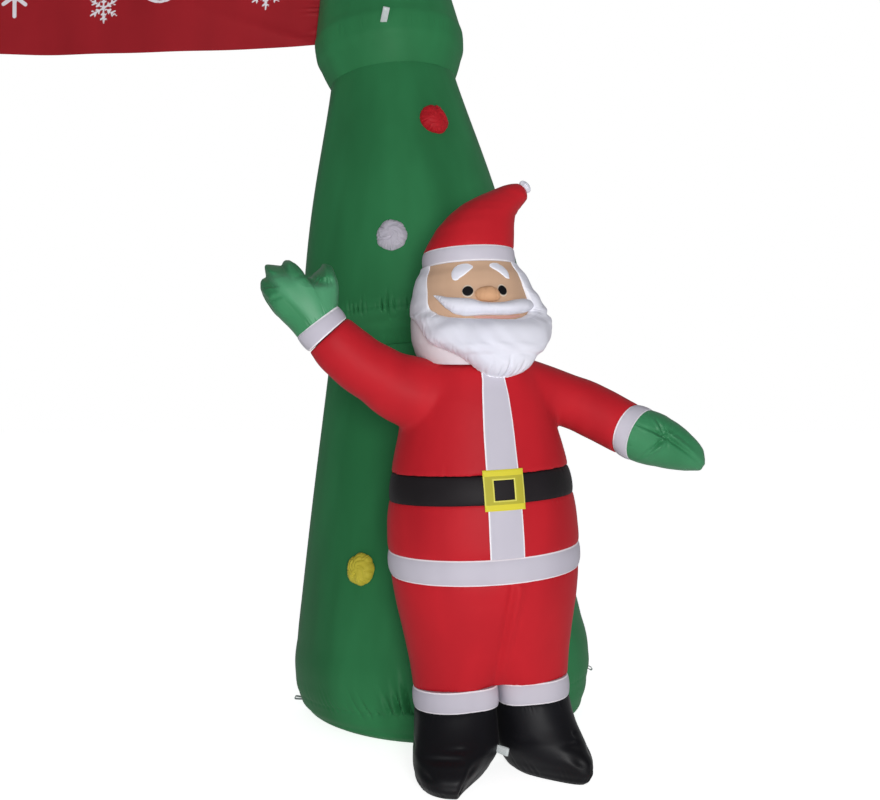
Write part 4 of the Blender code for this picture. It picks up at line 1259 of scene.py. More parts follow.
# a crease that runs from the tack: its direction, length, width and depth
TACK_CREASES = (
    (158, 0.060, 0.0045, 0.0090),
    (172, 0.030, 0.0030, 0.0040),
    (117, 0.042, 0.0040, 0.0080),
    (88, 0.024, 0.0030, 0.0050),
    (38, 0.034, 0.0035, 0.0080),
    (8, 0.026, 0.0030, 0.0035),
    (-33, 0.090, 0.0055, 0.0095),
    (-80, 0.022, 0.0032, 0.0040),
    (222, 0.062, 0.0050, 0.0100),
    (250, 0.025, 0.0030, 0.0040),
)


def low_relief(x, z, u, v, face):
    """Gathers at the wrist and the tip, and a star of creases about the tack."""
    out = gathers(u, v * LOW_LENGTH, 11, 0.0018, 0.016, 626 + face)
    out = out + gathers(u, (1 - v) * LOW_LENGTH, 9, 0.0022, 0.016, 630 + face)
    reach = np.hypot(x - TACK[0], z - TACK[1])
    out = out - 0.010 * np.exp(-((reach / 0.020) ** 2))
    clear = reach**2 / (reach**2 + 0.009**2)
    for degrees, length, width, depth in TACK_CREASES:
        aim = degrees if face < 0 else 180 - degrees
        out = out + crease(x, z, TACK, aim, length, width, depth) * clear
    return out


# a mitten's outline, the outline of its painted light where light comes through it, what draws its cloths in,
# the columns and rows of its grid, how squarely its tip closes, and how far the tip bends back
Mitten = namedtuple("Mitten", "outline palm relief columns rows close bend")
MITTENS = {
    "raised": Mitten(RAISED_OUTLINE, RAISED_PALM, raised_relief, 210, 92, 3.0, 0.045),
    "low": Mitten(LOW_OUTLINE, (), low_relief, 170, 96, 2.6, 0.0),
}
TIP_SHARE = 0.1  # the part of a mitten's length where its rows crowd towards the tip
TIP_ROWS = 12
LEAST_HALF = 0.0005  # of a mitten's thickness


def make_mitten(where, mitten):
    """Places across u and along v lie on straight lines between the two sides, moved by v times what the
    tip's line departs from its chord. The cloths stand D*sqrt(1 - (2u - 1)^2)*(1 - v^close)^0.5 away on
    both sides, an ellipse at the wrist and flat at the tip, less the relief; and they bend back towards the
    tip."""
    arm = ARMS[where]
    at = run_lengths(arm)[arm.hand]
    centre, ahead, breadth, depth, _ = (field[0] for field in arm_frame(arm, np.array([at, at + 1e-3])))
    across = np.array([-ahead[1], ahead[0]]) * breadth + ahead * arm.skew * arm.tilt
    hand = np.sign(arm.stations[-1].x)
    left = np.array([centre - hand * across, *mitten.outline.left[1:]])
    right = np.array([centre + hand * across, *mitten.outline.right[1:]])
    u = crowded(mitten.columns)
    tip_rows = 1 - TIP_SHARE + TIP_SHARE * np.sin(np.linspace(0, np.pi / 2, TIP_ROWS))
    v = np.concatenate([np.linspace(0, 1 - TIP_SHARE, mitten.rows - TIP_ROWS, endpoint=False), tip_rows])
    from_left, from_right = along(left, v)[:, None, :], along(right, v)[:, None, :]
    tip = along(mitten.outline.tip, u)[None, :, :]
    u, v = u[None, :, None], v[:, None, None]
    chord = (1 - u) * tip[:, :1] + u * tip[:, -1:]
    flat = (1 - u) * from_left + u * from_right + v * (tip - chord)
    flow = ahead * arm.skew * (1 - v) ** 1.5
    u, v = u[..., 0], v[..., 0]
    bow = np.sin(np.linspace(0, np.pi, mitten.columns))[None, :]
    stand = depth * bow * np.sqrt(np.clip(1 - v**mitten.close, 0, 1))
    taper = np.clip(stand / 0.012, 0, 1)
    back = arm.front + mitten.bend * np.clip((v - 0.55) / 0.45, 0, 1) ** 2
    cloths = []
    for face in (-1, 1):
        x, z = np.moveaxis(flat + face * flow * bow[..., None], -1, 0)
        half = np.maximum(stand + mitten.relief(x, z, u, v, face) * taper, LEAST_HALF)
        cloths.append(placed(np.stack([x, back + face * half, z], axis=-1)))
    # painted light: the cloth inside the palm's outline is painted paler, where light comes through it
    painted_light = outline_gap(flat[..., 0], flat[..., 1], mitten.palm)
    settle(sheet(f"{where}_mitten", *cloths, print_and_painted_light=painted_light), "mitten_green_nylon", f"mitten_{where}")


# ---------------------------------------------------------------- legs

# a leg at its cuff: its middle, right of the spine, its radius, and how many degrees its toe turns to the
# right
Leg = namedtuple("Leg", "middle radius splay")
LEGS = {-1: Leg(-0.1035, 0.1110, -17), 1: Leg(0.1110, 0.1020, 31)}
LEGS_MEET = 0.0083  # right of the spine
BOOTS_APART = 0.0005  # from where the legs meet
CUFF_SQUARE = 0.40  # how square a trouser cuff is on its inner side
SOLE_EDGE = 0.014
# a section of a boot: its height, how far forward it lies, and its half length and width, in radii of the
# leg
Sole = namedtuple("Sole", "height forward half_length half_width")
BOOT = (
    Sole(0.000, 0.050, 1.30, 0.78),
    Sole(SOLE_EDGE, 0.050, 1.50, 0.94),
    Sole(0.042, 0.048, 1.60, 1.00),
    Sole(0.080, 0.036, 1.49, 1.03),
    Sole(0.140, 0.014, 1.18, 1.01),
    Sole(CUFF_FOOT, 0.000, 1.00, 1.00),
)
BOOT_LOOP_DEG = -9
BOOT_LOOP_HEIGHT = 0.090
BOOT_LOOP_OUT = (0.80, -0.58, -0.20)
BOOT_LOOP_LENGTH = 0.034
TOE = {-1: (0.85, 1.0), 1: (0.55, 0.925)}  # how much the toe is narrowed on the inside, and the sole's length
BLUNT = {-1: 0.90, 1: -0.60}  # how far the toe's outer side is squared
# a hollow in a boot: degrees round from its right, its height, its width in degrees and its height, and its
# depth
BOOT_DENTS = (
    (262, 0.098, 16, 0.007, 0.0090),
    (276, 0.118, 8, 0.006, 0.0055),
    (250, 0.060, 10, 0.012, 0.0070),
    (296, 0.020, 6, 0.020, 0.0090),
    (300, 0.070, 9, 0.014, 0.0060),
    (200, 0.110, 14, 0.010, 0.0050),
)


def boot_skin(side, height, angle, out=0.0):
    """A boot's section is an ellipse turned by the leg's splay: a*cos^blunt across, b*sin along, set
    forward, narrowed on the inside of the toe and low down, and flat where it presses on the other boot."""
    leg = LEGS[side]
    splay = math.radians(leg.splay)
    forward, long, wide = (column(BOOT, field, height) for field in Sole._fields[1:])
    narrow, length = TOE[side]
    low = np.clip((CUFF_FOOT - height) / 0.10, 0, 1)
    inside = 0.5 - 0.5 * side * np.cos(angle)
    toe = np.clip((0.3 - np.sin(angle)) / 1.3, 0, 1) ** 1.2 * inside * np.clip((0.100 - height) / 0.08, 0, 1)
    under = np.clip((0.080 - height) / 0.076, 0, 1) ** 1.3 * inside
    blunt = 1 - BLUNT[side] * np.clip(-np.sin(angle), 0, 1) * (1 - inside) * low
    across = (leg.radius * wide + out) * powered(np.cos(angle), blunt)
    across = across * (1 - narrow * toe) * (1 - 0.32 * under)
    length = 1 + (length - 1) * low
    lengthwise = (leg.radius * long * length + out) * np.sin(angle) - forward
    x = leg.middle + across * math.cos(splay) - lengthwise * math.sin(splay)
    y = across * math.sin(splay) + lengthwise * math.cos(splay)
    x = side * np.maximum(side * x, side * LEGS_MEET + BOOTS_APART)
    return leaned(x, y, height)


def make_boot(side, where):
    """Soft boot with creases from the sole's seam, gathers under the cuff and a few hollows on the toe."""
    height = spaced((0.0, SOLE_EDGE, 0.060, 0.160, CUFF_FOOT - SEAM_CLEAR), (6, 16, 24, 14))[:, None]
    turn = turns(240)
    seed = 700 + 20 * side
    out = 0.0022 * wander(turn, seed, 3, 6) * np.sin(np.pi * height / CUFF_FOOT)
    out = out + gathers(turn, height - 0.020, 34, 0.0040, 0.022, seed + 1)
    out = out + gathers(turn, CUFF_FOOT - height, 30, 0.0022, 0.016, seed + 4)
    out = out + groove(CUFF_FOOT - height, 0.0020)
    for degrees, at_height, wide, tall, depth in BOOT_DENTS:
        out = out + dent(turn * 360, height, (degrees, at_height), (wide, tall), depth)
    out = out * np.clip(height / SOLE_EDGE, 0, 1)
    rings = placed(boot_skin(side, height, 2 * np.pi * turn, out))
    settle(tube(f"{where}_boot", rings), "black_nylon", f"boot_{where}")


def make_trouser_cuff(side, where):
    """A white band, swollen by 4t(1 - t) between its seams: a circle whose inner side is squarer, because
    the two bands press against each other."""
    leg = LEGS[side]
    height, low, high, swell = between(CUFF_FOOT, CUFF_TOP, 20)
    turn = turns(200)
    angle = 2 * np.pi * turn
    seed = 740 + 20 * side
    inner = np.exp(-(((np.cos(angle) * side + 1) / 0.12) ** 2))
    out = 0.0030 * swell * (1 - inner)
    out = out + both_seams(turn, low, high, 26, 0.0010, 0.009, (seed, seed + 4), 0.0018)
    square = 1 - CUFF_SQUARE * np.clip(-3 * side * np.cos(angle), 0, 1)
    x = leg.middle + (leg.radius + out) * powered(np.cos(angle), square)
    y = (leg.radius + out) * powered(np.sin(angle), square)
    piece = tube(f"{where}_trouser_band", placed(leaned(x, y, height)), np.minimum(low, high))
    settle(piece, "white_nylon", f"trouser_cuff_{where}")


def make_boot_loop():
    """The tether loop beside the left-hand boot, its tape upright."""
    root = placed(boot_skin(-1, np.array([BOOT_LOOP_HEIGHT]), math.radians(BOOT_LOOP_DEG)))[0]
    c, s = math.cos(FIGURE_TURN), math.sin(FIGURE_TURN)
    x, y, z = BOOT_LOOP_OUT
    out = unit(np.array([c * x - s * y, s * x + c * y, z]))
    make_loop("boot_tab", "boot_loop", root + out * LOOP_CLEAR, out, (0, 0, 1), BOOT_LOOP_LENGTH)


# ---------------------------------------------------------------- head


def head_skin(degrees, height, out=0.0):
    """Points on the head, in the figure's frame, degrees to the right of the nose, moved straight out by
    out: the way out is level, less the slope of the half depth."""
    turn = np.radians(degrees) + FACE_TURN
    wide, deep = column(HEAD, "half_width", height), column(HEAD, "half_depth", height)
    step = 0.008
    up = column(HEAD, "half_depth", height + step) - column(HEAD, "half_depth", height - step)
    up = up * np.clip((height - NECK) / 0.06, 0, 1)
    away = unit(np.stack(np.broadcast_arrays(np.sin(turn), -np.cos(turn), -up / (2 * step)), axis=-1))
    skin = leaned(wide * np.sin(turn), -deep * np.cos(turn), height)
    return skin + away * np.asarray(out)[..., None]


def make_head():
    """The head's ellipses, with gathers at the neck and under the hat's band."""
    height, low, high, _ = between(NECK, HAT_BAND_FOOT, 64)
    turn = turns(300)
    out = gathers(turn, low, 40, 0.0016, 0.014, 800) + gathers(turn, high, 40, 0.0012, 0.012, 804)
    out = out + groove(low, 0.0020) + groove(high, 0.0020)
    rings = placed(section(HEAD, FRONT + np.pi + 2 * np.pi * turn, height, out))
    settle(tube("head_panel", rings, np.minimum(low, high)), "white_nylon", "head", material="head")


# a circle of the hat: its height, its radius, how far to the right it lies, and how many degrees it is
# rolled
HatRow = namedtuple("HatRow", "height radius side roll")
HAT = (
    HatRow(HAT_BAND_TOP, 0.1235, 0.000, 0),
    HatRow(1.455, 0.1120, 0.015, 0),
    HatRow(1.493, 0.0990, 0.032, 0),
    HatRow(1.521, 0.0850, 0.055, 4),
    HatRow(1.542, 0.0690, 0.083, 10),
    HatRow(1.560, 0.0510, 0.115, 18),
    HatRow(1.575, 0.0350, 0.142, 30),
    HatRow(1.584, 0.0190, 0.158, 42),
)
HAT_TIP = (0.168, 0.0, 1.587)
HAT_TIP_RADIUS = 0.0185
HAT_TIP_FLAT = 0.70
HAT_TIP_LEAN = math.radians(48)


def make_hat():
    """A cone that bends over to the right: circles on a curved line, rolled square to it."""
    last = len(HAT) - 1
    k = spaced((0.0, 0.35, last), (10, 60))
    index = np.arange(len(HAT))
    height, radius, side, roll = (eased(k, index, [getattr(r, f) for r in HAT]) for f in HatRow._fields)
    height[0] += SEAM_CLEAR
    turn = turns(280)
    angle = FRONT + np.pi + 2 * np.pi * turn
    away = (height - HAT_BAND_TOP)[:, None]
    out = gathers(turn, away, 44, 0.0016, 0.016, 820) + groove(away, 0.0020)
    out = out + 0.0016 * wander(turn, 823, 2, 5) * np.sin(np.pi * k / last)[:, None]
    x = (radius[:, None] + out) * np.cos(angle)
    y = (radius[:, None] + out) * np.sin(angle)
    cos, sin = np.cos(np.radians(roll))[:, None], np.sin(np.radians(roll))[:, None]
    rings = placed(leaned(side[:, None] + x * cos, y, height[:, None] - x * sin))
    settle(tube("hat_cone", rings, away), "red_nylon", "hat")


def make_hat_tip():
    """A small stuffed ball on the hat's end, x^2 + y^2 = 1 - z^2, flattened, puckered and leaning."""
    turn = turns(280)
    angle = FRONT + np.pi + 2 * np.pi * turn
    lift = np.linspace(-0.98, 0.98, 30)
    ball = np.sqrt(1 - lift**2)[:, None] * (1 + 0.06 * wander(turn, 830, 3, 6))
    ball = ball + gathers(turn, (1 + lift)[:, None], 12, 0.18, 0.7, 833)
    x, y = HAT_TIP_RADIUS * ball * np.cos(angle), HAT_TIP_RADIUS * ball * np.sin(angle)
    z = HAT_TIP_RADIUS * HAT_TIP_FLAT * lift[:, None]
    c, s = math.cos(HAT_TIP_LEAN), math.sin(HAT_TIP_LEAN)
    reach = np.stack([x * c + z * s, y, z * c - x * s], axis=-1)
    rings = placed(reach + leaned(*np.array(HAT_TIP)))
    settle(tube("hat_tip_puff", rings), "white_nylon", "hat_tip", material="beard")


FACE_TOP = 1.3685
FACE_LOW = 1.205
FACE_LEFT = ((1.270, -60.5), (FACE_TOP, -71.0))  # height, and degrees right of the nose
FACE_RIGHT = ((1.270, 54.0), (FACE_TOP, 49.0))
FACE_BACK = 0.0003  # from the head to the panel's back
FACE_FRONT = 0.0012  # and to its front, at its edge


def make_face():
    """A panel on the head's front, from the hat's band down to the beard: its foot rises like |across|^3."""
    across = np.linspace(-1, 1, 90)[None, :]
    share = np.linspace(0, 1, 44)[:, None]
    foot = FACE_LOW + 0.030 * np.abs(across) ** 3
    height = foot + (FACE_TOP - foot) * share
    left, right = (np.interp(height, *zip(*edge)) for edge in (FACE_LEFT, FACE_RIGHT))
    degrees = left + (right - left) * (across + 1) / 2
    edge = np.minimum(np.minimum(height - foot, FACE_TOP - height), (1 - np.abs(across)) * 0.14)
    out = FACE_FRONT + 0.0012 * np.clip(edge / 0.006, 0, 1)
    front = placed(head_skin(degrees, height, out))
    piece = sheet("face_panel", front, placed(head_skin(degrees, height, np.full_like(out, FACE_BACK))))
    settle(piece, "skin_nylon", "face")


# a row across a pillow on the head: where it starts and ends, in degrees right of the nose and in height,
# and how far its middle stands out
Row = namedtuple("Row", "from_deg from_height to_deg to_height stand")
BEARD = (
    Row(-68.5, 1.3680, -104, 1.3680, 0.002),
    Row(-64.0, 1.3250, -103, 1.3000, 0.0015),
    Row(-60.0, 1.2850, -97, 1.2500, 0.0020),
    Row(-57.0, 1.2580, -78, 1.2280, 0.007),
    Row(-49.5, 1.2400, -62, 1.1860, 0.020),
    Row(-41.5, 1.2290, -51, 1.1560, 0.033),
    Row(-30.0, 1.2215, -38, 1.1400, 0.047),
    Row(-18.0, 1.2170, -22, 1.1080, 0.060),
    Row(-8.0, 1.2145, -9, 1.0780, 0.068),
    Row(0.0, 1.2130, 1, 1.0660, 0.071),
    Row(9.0, 1.2115, 11, 1.0640, 0.072),
    Row(20.0, 1.2120, 23, 1.0700, 0.072),
    Row(30.0, 1.2160, 38, 1.0980, 0.068),
    Row(38.5, 1.2230, 52, 1.1380, 0.058),
    Row(44.5, 1.2310, 63, 1.1780, 0.049),
    Row(48.0, 1.2480, 76, 1.2150, 0.038),
    Row(47.0, 1.2850, 95, 1.2430, 0.026),
    Row(45.0, 1.3250, 103, 1.3000, 0.010),
    Row(43.0, 1.3680, 104, 1.3680, 0.002),
)
MOUSTACHE = (
    Row(-52.5, 1.2850, -52.0, 1.2825, 0.004),
    Row(-43.0, 1.2797, -45.0, 1.2660, 0.012),
    Row(-38.0, 1.2755, -41.0, 1.2545, 0.018),
    Row(-31.0, 1.2720, -35.5, 1.2411, 0.023),
    Row(-21.5, 1.2690, -26.5, 1.2275, 0.026),
    Row(-13.5, 1.2650, -17.0, 1.2232, 0.027),
    Row(-4.0, 1.2570, -5.0, 1.2235, 0.027),
    Row(6.7, 1.2555, 8.0, 1.2226, 0.027),
    Row(29.5, 1.2646, 29.0, 1.2268, 0.025),
    Row(42.0, 1.2672, 41.0, 1.2325, 0.020),
    Row(50.0, 1.2615, 49.5, 1.2405, 0.014),
    Row(56.5, 1.2550, 56.0, 1.2485, 0.007),
)
NOSE = (
    Row(-12.0, 1.2820, -12.0, 1.2730, 0.003),
    Row(-9.0, 1.2910, -9.0, 1.2640, 0.008),
    Row(-4.0, 1.2960, -4.0, 1.2590, 0.014),
    Row(1.5, 1.2975, 1.5, 1.2575, 0.016),
    Row(6.5, 1.2940, 6.5, 1.2590, 0.013),
    Row(10.0, 1.2860, 10.0, 1.2630, 0.008),
    Row(11.8, 1.2760, 11.8, 1.2690, 0.003),
)
LEFT_BROW = (
    Row(-34.4, 1.3384, -34.0, 1.3284, 0.0008),
    Row(-33.2, 1.3474, -32.2, 1.3194, 0.0018),
    Row(-30.6, 1.3544, -29.3, 1.3174, 0.0024),
    Row(-26.2, 1.3594, -25.6, 1.3229, 0.0024),
    Row(-20.0, 1.3609, -20.6, 1.3309, 0.0022),
    Row(-14.8, 1.3574, -15.8, 1.3404, 0.0016),
    Row(-12.0, 1.3524, -12.2, 1.3474, 0.0006),
)
RIGHT_BROW = (
    Row(6.8, 1.3545, 7.0, 1.3500, 0.0006),
    Row(9.0, 1.3590, 9.4, 1.3450, 0.0014),
    Row(14.4, 1.3610, 13.2, 1.3390, 0.0022),
    Row(20.7, 1.3560, 19.2, 1.3270, 0.0024),
    Row(25.0, 1.3465, 23.6, 1.3190, 0.0022),
    Row(27.4, 1.3330, 26.4, 1.3185, 0.0010),
)
MOUTH = (
    Row(-14, 1.2220, -14, 1.2195, 0.0003),
    Row(-4, 1.2215, -4, 1.2150, 0.0010),
    Row(9, 1.2205, 9, 1.2135, 0.0012),
    Row(23, 1.2225, 23, 1.2160, 0.0010),
    Row(33, 1.2240, 33, 1.2215, 0.0003),
)
Eye = namedtuple("Eye", "degrees height half_width half_height")  # degrees run right from the nose
EYES = {"left": Eye(-18.3, 1.287, 0.0144, 0.0162), "right": Eye(14.9, 1.287, 0.0130, 0.0162)}
ON_FACE = 0.0030  # from the head to the back of what lies on the face
DEGREE = 0.0027  # a degree round the head, in metres
CHEST_MEETS = 1.16  # up to this height the beard may touch the chest
# a pleat under the chin: degrees right of the nose, its width in degrees, how far it reaches up, and its
# depth
PLEATS = (
    (-3, 1.3, 0.34, 0.011),
    (4, 1.0, 0.26, 0.009),
    (9, 1.2, 0.40, 0.012),
    (15, 1.0, 0.24, 0.008),
    (20, 1.4, 0.30, 0.009),
    (-14, 1.5, 0.20, 0.006),
    (31, 1.5, 0.22, 0.006),
)


def row_grid(rows, columns, lines):
    """Degrees and heights on a pillow: share runs from the first row to the last, and across from -1, where
    each row starts, to 1, where it ends. Also how far the rows stand out, and the distances from the two
    edges."""
    middles = [((r.from_deg + r.to_deg) / 2 * DEGREE, (r.from_height + r.to_height) / 2) for r in rows]
    at = lengths(np.array(middles))
    share = np.linspace(0, 1, columns)[None, :]
    start_deg, start, end_deg, end, stand = (
        eased(share * at[-1], at, [getattr(row, field) for row in rows]) for field in Row._fields
    )
    across = np.sin(np.linspace(-np.pi / 2, np.pi / 2, lines))[:, None]
    half = (across + 1) / 2
    degrees = start_deg + (end_deg - start_deg) * half
    height = start + (end - start) * half
    length = np.hypot((end_deg - start_deg) * DEGREE, end - start)
    return degrees, height, stand, share, across, half * length, (1 - half) * length


def chest_clear(points, clear):
    """Moves points in the figure's frame forward where they would lie in the chest."""
    outside = body_place(points.reshape(-1, 3))[2]
    push = np.clip(clear - outside, 0, 0.2).reshape(points.shape[:2]) * (points[..., 2] < CHEST_MEETS)
    moved = points.copy()
    moved[..., 1] -= push
    return moved


def make_beard():
    """A long pillow from the hat's band down both cheeks and round the chin: each row stands out like
    (1 - across^2)^p, where p falls from 0.55 at the cheeks to 0.38 on the chin, a little fuller below, with
    puckers along both edges, pleats under the chin and one fold in the right cheek."""
    d, h, stand, share, across, inner, outer = row_grid(BEARD, 560, 66)
    dome = np.clip(1 - across**2, 0, 1) ** (0.55 - 0.17 * np.exp(-(((d - 10) / 35) ** 2)))
    rise = stand * dome * (1 + 0.12 * across)
    fold = gathers(share, outer, 84, 0.0055, 0.014, 850) + gathers(share, outer, 33, 0.0030, 0.030, 862)
    fold = fold + gathers(share, inner, 60, 0.0030, 0.012, 854)
    for degrees, wide, tall, depth in PLEATS:
        fold = fold + dent(d, across, (degrees, 0.98), (wide, tall), depth)
    side = np.clip((d - 54) / 12, 0, 1)
    fold = fold - 0.010 * side * np.exp(-(((h - 1.226 - 0.00027 * (d - 50)) / 0.0060) ** 2))
    lumps = 0.0030 * wander(share + 0.06 * across, 861, 3, 9)
    lumps = lumps + 0.0010 * wander(share - 0.10 * across, 866, 11, 8)
    rise = np.maximum(rise + (fold + lumps) * np.clip(rise / 0.014, 0, 1), 0)
    h = h - 0.0030 * np.abs(wander(share, 868, 26, 14)) * np.clip(across, 0, 1) ** 5 * (stand > 0.02)
    front = chest_clear(head_skin(d, h, rise + ON_FACE + 0.0010), 0.0050)
    back = chest_clear(head_skin(d, h, np.full_like(rise, ON_FACE)), 0.0035)
    piece = sheet("beard_pillow", placed(front), placed(back), np.minimum(inner, outer))
    settle(piece, "white_nylon", "beard", material="beard")


def make_pillow(name, node, slot, rows, size, material=None, lift=ON_FACE, creases=0, depth=0, seed=0):
    """A small pillow or patch on the face: each row stands out like (1 - across^2)^0.5, with a few creases
    from its edges. A patch has no creases, and is a sheet. size is the grid's, along and across."""
    d, h, stand, share, across, inner, outer = row_grid(rows, *size)
    ends = np.sqrt(np.clip(np.minimum(share, 1 - share) / 0.06, 0.05, 1))
    dome = np.sqrt(np.clip(1 - across**2, 0, 1)) * ends
    rise = stand * dome
    if creases:
        reach = 0.30 * (inner + outer).max()
        fold = gathers(share, inner, creases, depth, reach, seed)
        fold = fold + gathers(share, outer, creases, depth, reach, seed + 4)
        rise = np.maximum(rise + fold * dome, 0)
    front = placed(head_skin(d, h, rise + lift + 0.0008))
    piece = sheet(name, front, placed(head_skin(d, h, np.full_like(rise, lift))), np.minimum(inner, outer))
    if creases:
        settle(piece, slot, node, material=material)
    else:
        settle(piece, slot, node, material=material)


def make_features():
    """Moustache and nose, two pillows, and the patches: mouth, brows, and eyes, which are ellipses."""
    hair = {"creases": 26, "depth": 0.0040, "seed": 870}
    make_pillow("moustache_pillow", "moustache", "white_nylon", MOUSTACHE, (220, 40), "beard", **hair)
    bulb = {"lift": ON_FACE - 0.0004, "creases": 7, "depth": 0.0035, "seed": 880}
    make_pillow("nose_pillow", "nose", "skin_nylon", NOSE, (80, 36), "nose", **bulb)
    make_pillow("mouth_patch", "mouth", "lip_nylon", MOUTH, (60, 12))
    for where, brow in (("left", LEFT_BROW), ("right", RIGHT_BROW)):
        make_pillow(f"{where}_brow_patch", f"brow_{where}", "white_nylon", brow, (60, 18), "beard")
    for where, eye in EYES.items():
        rows = []
        for across in np.sin(np.linspace(-1.45, 1.45, 11)):
            degrees = eye.degrees + eye.half_width * across / DEGREE
            tall = eye.half_height * math.sqrt(1 - across * across)
            rows.append(Row(degrees, eye.height + tall, degrees, eye.height - tall, 0.0012))
        make_pillow(f"{where}_eye_patch", f"eye_{where}", "black_nylon", rows, (60, 40), "eye")


# ---------------------------------------------------------------- placket and buckle

PLACKET_MIDDLE = 0.011
PLACKET_HALF = ((0.670, 0.045), (0.876, 0.041), (1.000, 0.036), (1.070, 0.030))  # height, and half width
PLACKET_TOP = 1.090
PLACKET_CLEAR = 0.0005  # from the seams it runs between
PLACKET_LIFT = 0.0030
BELT_MIDDLE = (BELT_FOOT + BELT_TOP) / 2
BUCKLE_HALF = 0.052
BUCKLE_WINDOW = 0.026  # half of the square hole
BUCKLE_ON_BELT = 0.0365  # up and down from its middle, it lies on the belt this far
# the profile of a strip of the buckle: across it, in halves of its width, and how far it stands out
STRIP_PROFILE = ((-1, 0), (-0.92, 1), (-0.5, 1.15), (0, 1.2), (0.5, 1.15), (0.92, 1), (1, 0), (0, -0.2))
STRIP_POINTS = 26  # along each of them


def front_skin(across, height, out):
    """Points on the body's front, across metres to the right of the spine, where across = w*cos(angle)."""
    wide = column(BODY, "half_width", height)
    return section(BODY, -np.arccos(np.clip(across / wide, -1, 1)), height, out)


def make_placket(name, node, low, high):
    """A strip down the front, widest at its foot, laid on the coat."""
    height = np.linspace(low, high, 60)[:, None]
    share = np.linspace(-1, 1, 20)[None, :]
    half = eased(height, *zip(*PLACKET_HALF))
    across = PLACKET_MIDDLE + half * share
    edge = half * (1 - np.abs(share))
    out = PLACKET_LIFT + 0.0012 * np.clip(edge / 0.004, 0, 1)
    out = out + 0.0010 * wander(height, 901, 3, 5) * (1 - share**2)
    front = placed(front_skin(across, height, out))
    piece = sheet(name, front, placed(front_skin(across, height, out - 0.0010)), edge)
    settle(piece, "white_nylon", node)


def make_buckle():
    """Four folded strips in a square: a flat, rounded profile carried round a square path on the belt."""
    corners = np.array([(-1, -1), (1, -1), (1, 1), (-1, 1)])
    share = np.linspace(0, 1, STRIP_POINTS, endpoint=False)[None, :, None]
    path = corners[:, None] * (1 - share) + np.roll(corners, -1, axis=0)[:, None] * share
    path = path.reshape(-1, 2) * (BUCKLE_HALF + BUCKLE_WINDOW) / 2
    half = (BUCKLE_HALF - BUCKLE_WINDOW) / 2
    profile = np.array(STRIP_PROFILE)
    scale = 1 + profile[None, :, 0] * half / np.abs(path).max(axis=1, keepdims=True)
    places = path[:, None, :] * scale[..., None]
    stand = 0.0052 + 0.0009 * profile[None, :, 1]
    rings = placed(front_skin(PLACKET_MIDDLE + places[..., 0], BELT_MIDDLE + places[..., 1], stand))
    rows, columns = rings.shape[:2]
    index = np.arange(rows * columns).reshape(rows, columns)
    onward, beside = np.roll(index, -1, axis=0), np.roll(index, -1, axis=1)
    cells = np.stack([index, beside, np.roll(onward, -1, axis=1), onward], axis=-1).reshape(-1, 4)
    cloth = places.reshape(-1, 2)
    seam = np.broadcast_to((1 - np.abs(profile[:, 0])) * half, (rows, columns)).ravel()
    past_belt = BUCKLE_ON_BELT - np.abs(cloth[:, 1])  # the thin cloth is darker over the black belt
    piece = as_object("buckle_frame", rings.reshape(-1, 3), [cells], [cloth[cells]], seam, past_belt)
    settle(piece, "yellow_nylon", "buckle", material="buckle")


# ---------------------------------------------------------------- the object

for side, prefix in ((1, "right"), (-1, "left")):
    make_tree(side, prefix)
    make_tree_loops(side, prefix)
    for number, puff in enumerate(PUFFS):
        make_puff(side, prefix, number, puff)
make_banner()
for number, band in enumerate(BANDS):
    make_band(number, band)
make_coat()
for number, (name, arm) in enumerate(ARMS.items()):
    make_sleeve_cuff(name, arm, 580 + 10 * number)
for where, mitten in MITTENS.items():
    make_mitten(where, mitten)
for side, where in ((-1, "left"), (1, "right")):
    make_boot(side, where)
    make_trouser_cuff(side, where)
make_boot_loop()
make_head()
make_hat()
make_hat_tip()
make_face()
make_beard()
make_features()
make_placket("placket_foot", "placket_lower", HEM_TOP + PLACKET_CLEAR, BELT_FOOT - PLACKET_CLEAR)
make_placket("placket_chest", "placket_upper", BELT_TOP + PLACKET_CLEAR, PLACKET_TOP)
make_buckle()

# ---------------------------------------------------------------- floor, light and camera

FLOOR_REACH = 400.0
FLOOR_GLOW = 0.26  # how much the floor glows towards the object
FLOOR_LOOK = 0.80  # and towards the camera
ROOM_LIGHT = 0.11  # from all round on the object; the camera sees a white backdrop instead
# a far soft lamp: how many degrees wide it is, its strength, and the direction it shines from
Lamp = namedtuple("Lamp", "name spread strength aim_from")
LAMPS = (
    Lamp("fill", 80, 0.18, (0.2, -1.0, 0.30)),
    Lamp("top", 100, 0.14, (-0.1, -0.2, 1.0)),
    Lamp("back", 100, 0.50, (0.3, 1.0, 0.35)),
)
# the camera was fitted to the photograph, whose width, focal length and rise of the picture are in pixels
PHOTO_WIDTH = 880
FOCAL_LENGTH = 1000
PICTURE_RISE = 30
SENSOR = 36  # mm
CAMERA_PLACE = (1.321, -3.166, 0.93)


def add_lamp(lamp):
    """A lamp like the sun, but wide, so its shadows are soft."""
    light = bpy.data.lights.new(lamp.name, "SUN")
    light.angle = math.radians(lamp.spread)
    light.energy = lamp.strength
    obj = linked(lamp.name, light)
    obj.rotation_euler = Vector(lamp.aim_from).to_track_quat("Z", "Y").to_euler()


def add_softbox(name, width, strength, place, aim):
    """A round softbox at a place. strength is its light where it is aimed, in watts a square metre: its
    power is pi*strength*distance^2."""
    light = bpy.data.lights.new(name, "AREA")
    light.shape = "DISK"
    light.size = width
    away = Vector(place) - Vector(aim)
    light.energy = strength * math.pi * away.length_squared
    obj = linked(name, light)
    obj.location = place
    obj.rotation_euler = away.to_track_quat("Z", "Y").to_euler()
    obj.visible_camera = False


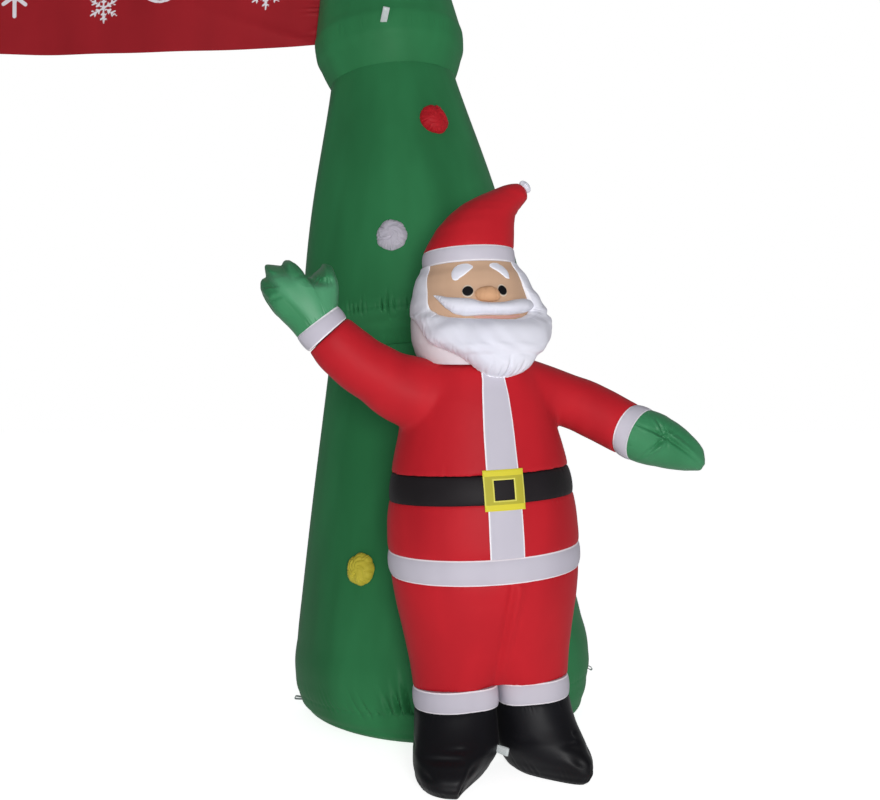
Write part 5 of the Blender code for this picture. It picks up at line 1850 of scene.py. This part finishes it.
def make_floor():
    """A white painted floor, matt and a little uneven. It glows less for the object than for the camera."""
    mesh = bpy.data.meshes.new("floor")
    corners = [(x * FLOOR_REACH, y * FLOOR_REACH, 0) for x, y in ((-1, -1), (1, -1), (1, 1), (-1, 1))]
    mesh.from_pydata(corners, [], [(0, 1, 2, 3)])
    floor = linked("floor", mesh)
    material, tree, shader = new_material("white_painted_floor")
    place = add(tree, "ShaderNodeTexCoord")
    flat = {"Vector": place.outputs["Object"]}
    grain = add(tree, "ShaderNodeTexNoise", {"Scale": 0.6, "Detail": 2.0}, flat)
    tone = add(
        tree,
        "ShaderNodeMix",
        {"data_type": "RGBA", 6: linear("#F4F4F4"), 7: linear("#F8F8F8")},
        {"Factor": grain.outputs["Fac"]},
    )
    tree.links.new(tone.outputs[2], shader.inputs["Base Color"])
    shader.inputs["Roughness"].default_value = 0.9
    shader.inputs["Specular IOR Level"].default_value = 0.1
    shader.inputs["Emission Color"].default_value = linear("#FFFFFF")
    seen = add(tree, "ShaderNodeLightPath")
    glow = add(
        tree,
        "ShaderNodeMapRange",
        {"To Min": FLOOR_GLOW, "To Max": FLOOR_LOOK},
        {"Value": seen.outputs["Is Camera Ray"]},
    )
    tree.links.new(glow.outputs["Result"], shader.inputs["Emission Strength"])
    mesh.materials.append(material)


def make_room():
    """A dim, bluish room round the object, which the camera sees as a white backdrop."""
    world = bpy.data.worlds.new("studio")
    bpy.context.scene.world = world
    world.use_nodes = True
    tree = world.node_tree
    room = tree.nodes["Background"]
    room.inputs["Color"].default_value = linear("#F4F6FF")
    room.inputs["Strength"].default_value = ROOM_LIGHT
    backdrop = add(tree, "ShaderNodeBackground", {"Color": linear("#FFFFFF"), "Strength": 1.0})
    seen = add(tree, "ShaderNodeLightPath")
    feeds = {0: seen.outputs["Is Camera Ray"], 1: room.outputs[0], 2: backdrop.outputs[0]}
    both = add(tree, "ShaderNodeMixShader", links=feeds)
    tree.links.new(both.outputs[0], tree.nodes["World Output"].inputs["Surface"])


def make_camera():
    """A level camera before the object, at the place and with the lens of the photograph's."""
    camera = bpy.data.cameras.new("camera")
    camera.sensor_width = SENSOR
    camera.lens = SENSOR * FOCAL_LENGTH / PHOTO_WIDTH
    camera.shift_y = PICTURE_RISE / PHOTO_WIDTH
    obj = linked("camera", camera)
    obj.location = CAMERA_PLACE
    obj.rotation_euler = (math.radians(90), 0, 0)
    bpy.context.scene.camera = obj


make_floor()
make_room()
add_softbox("key", 1.3, 2.05, (1.75, -4.8, 1.00), (1.45, -0.5, 0.9))
for lamp in LAMPS:
    add_lamp(lamp)
bpy.context.scene.view_settings.view_transform = "Standard"
make_camera()
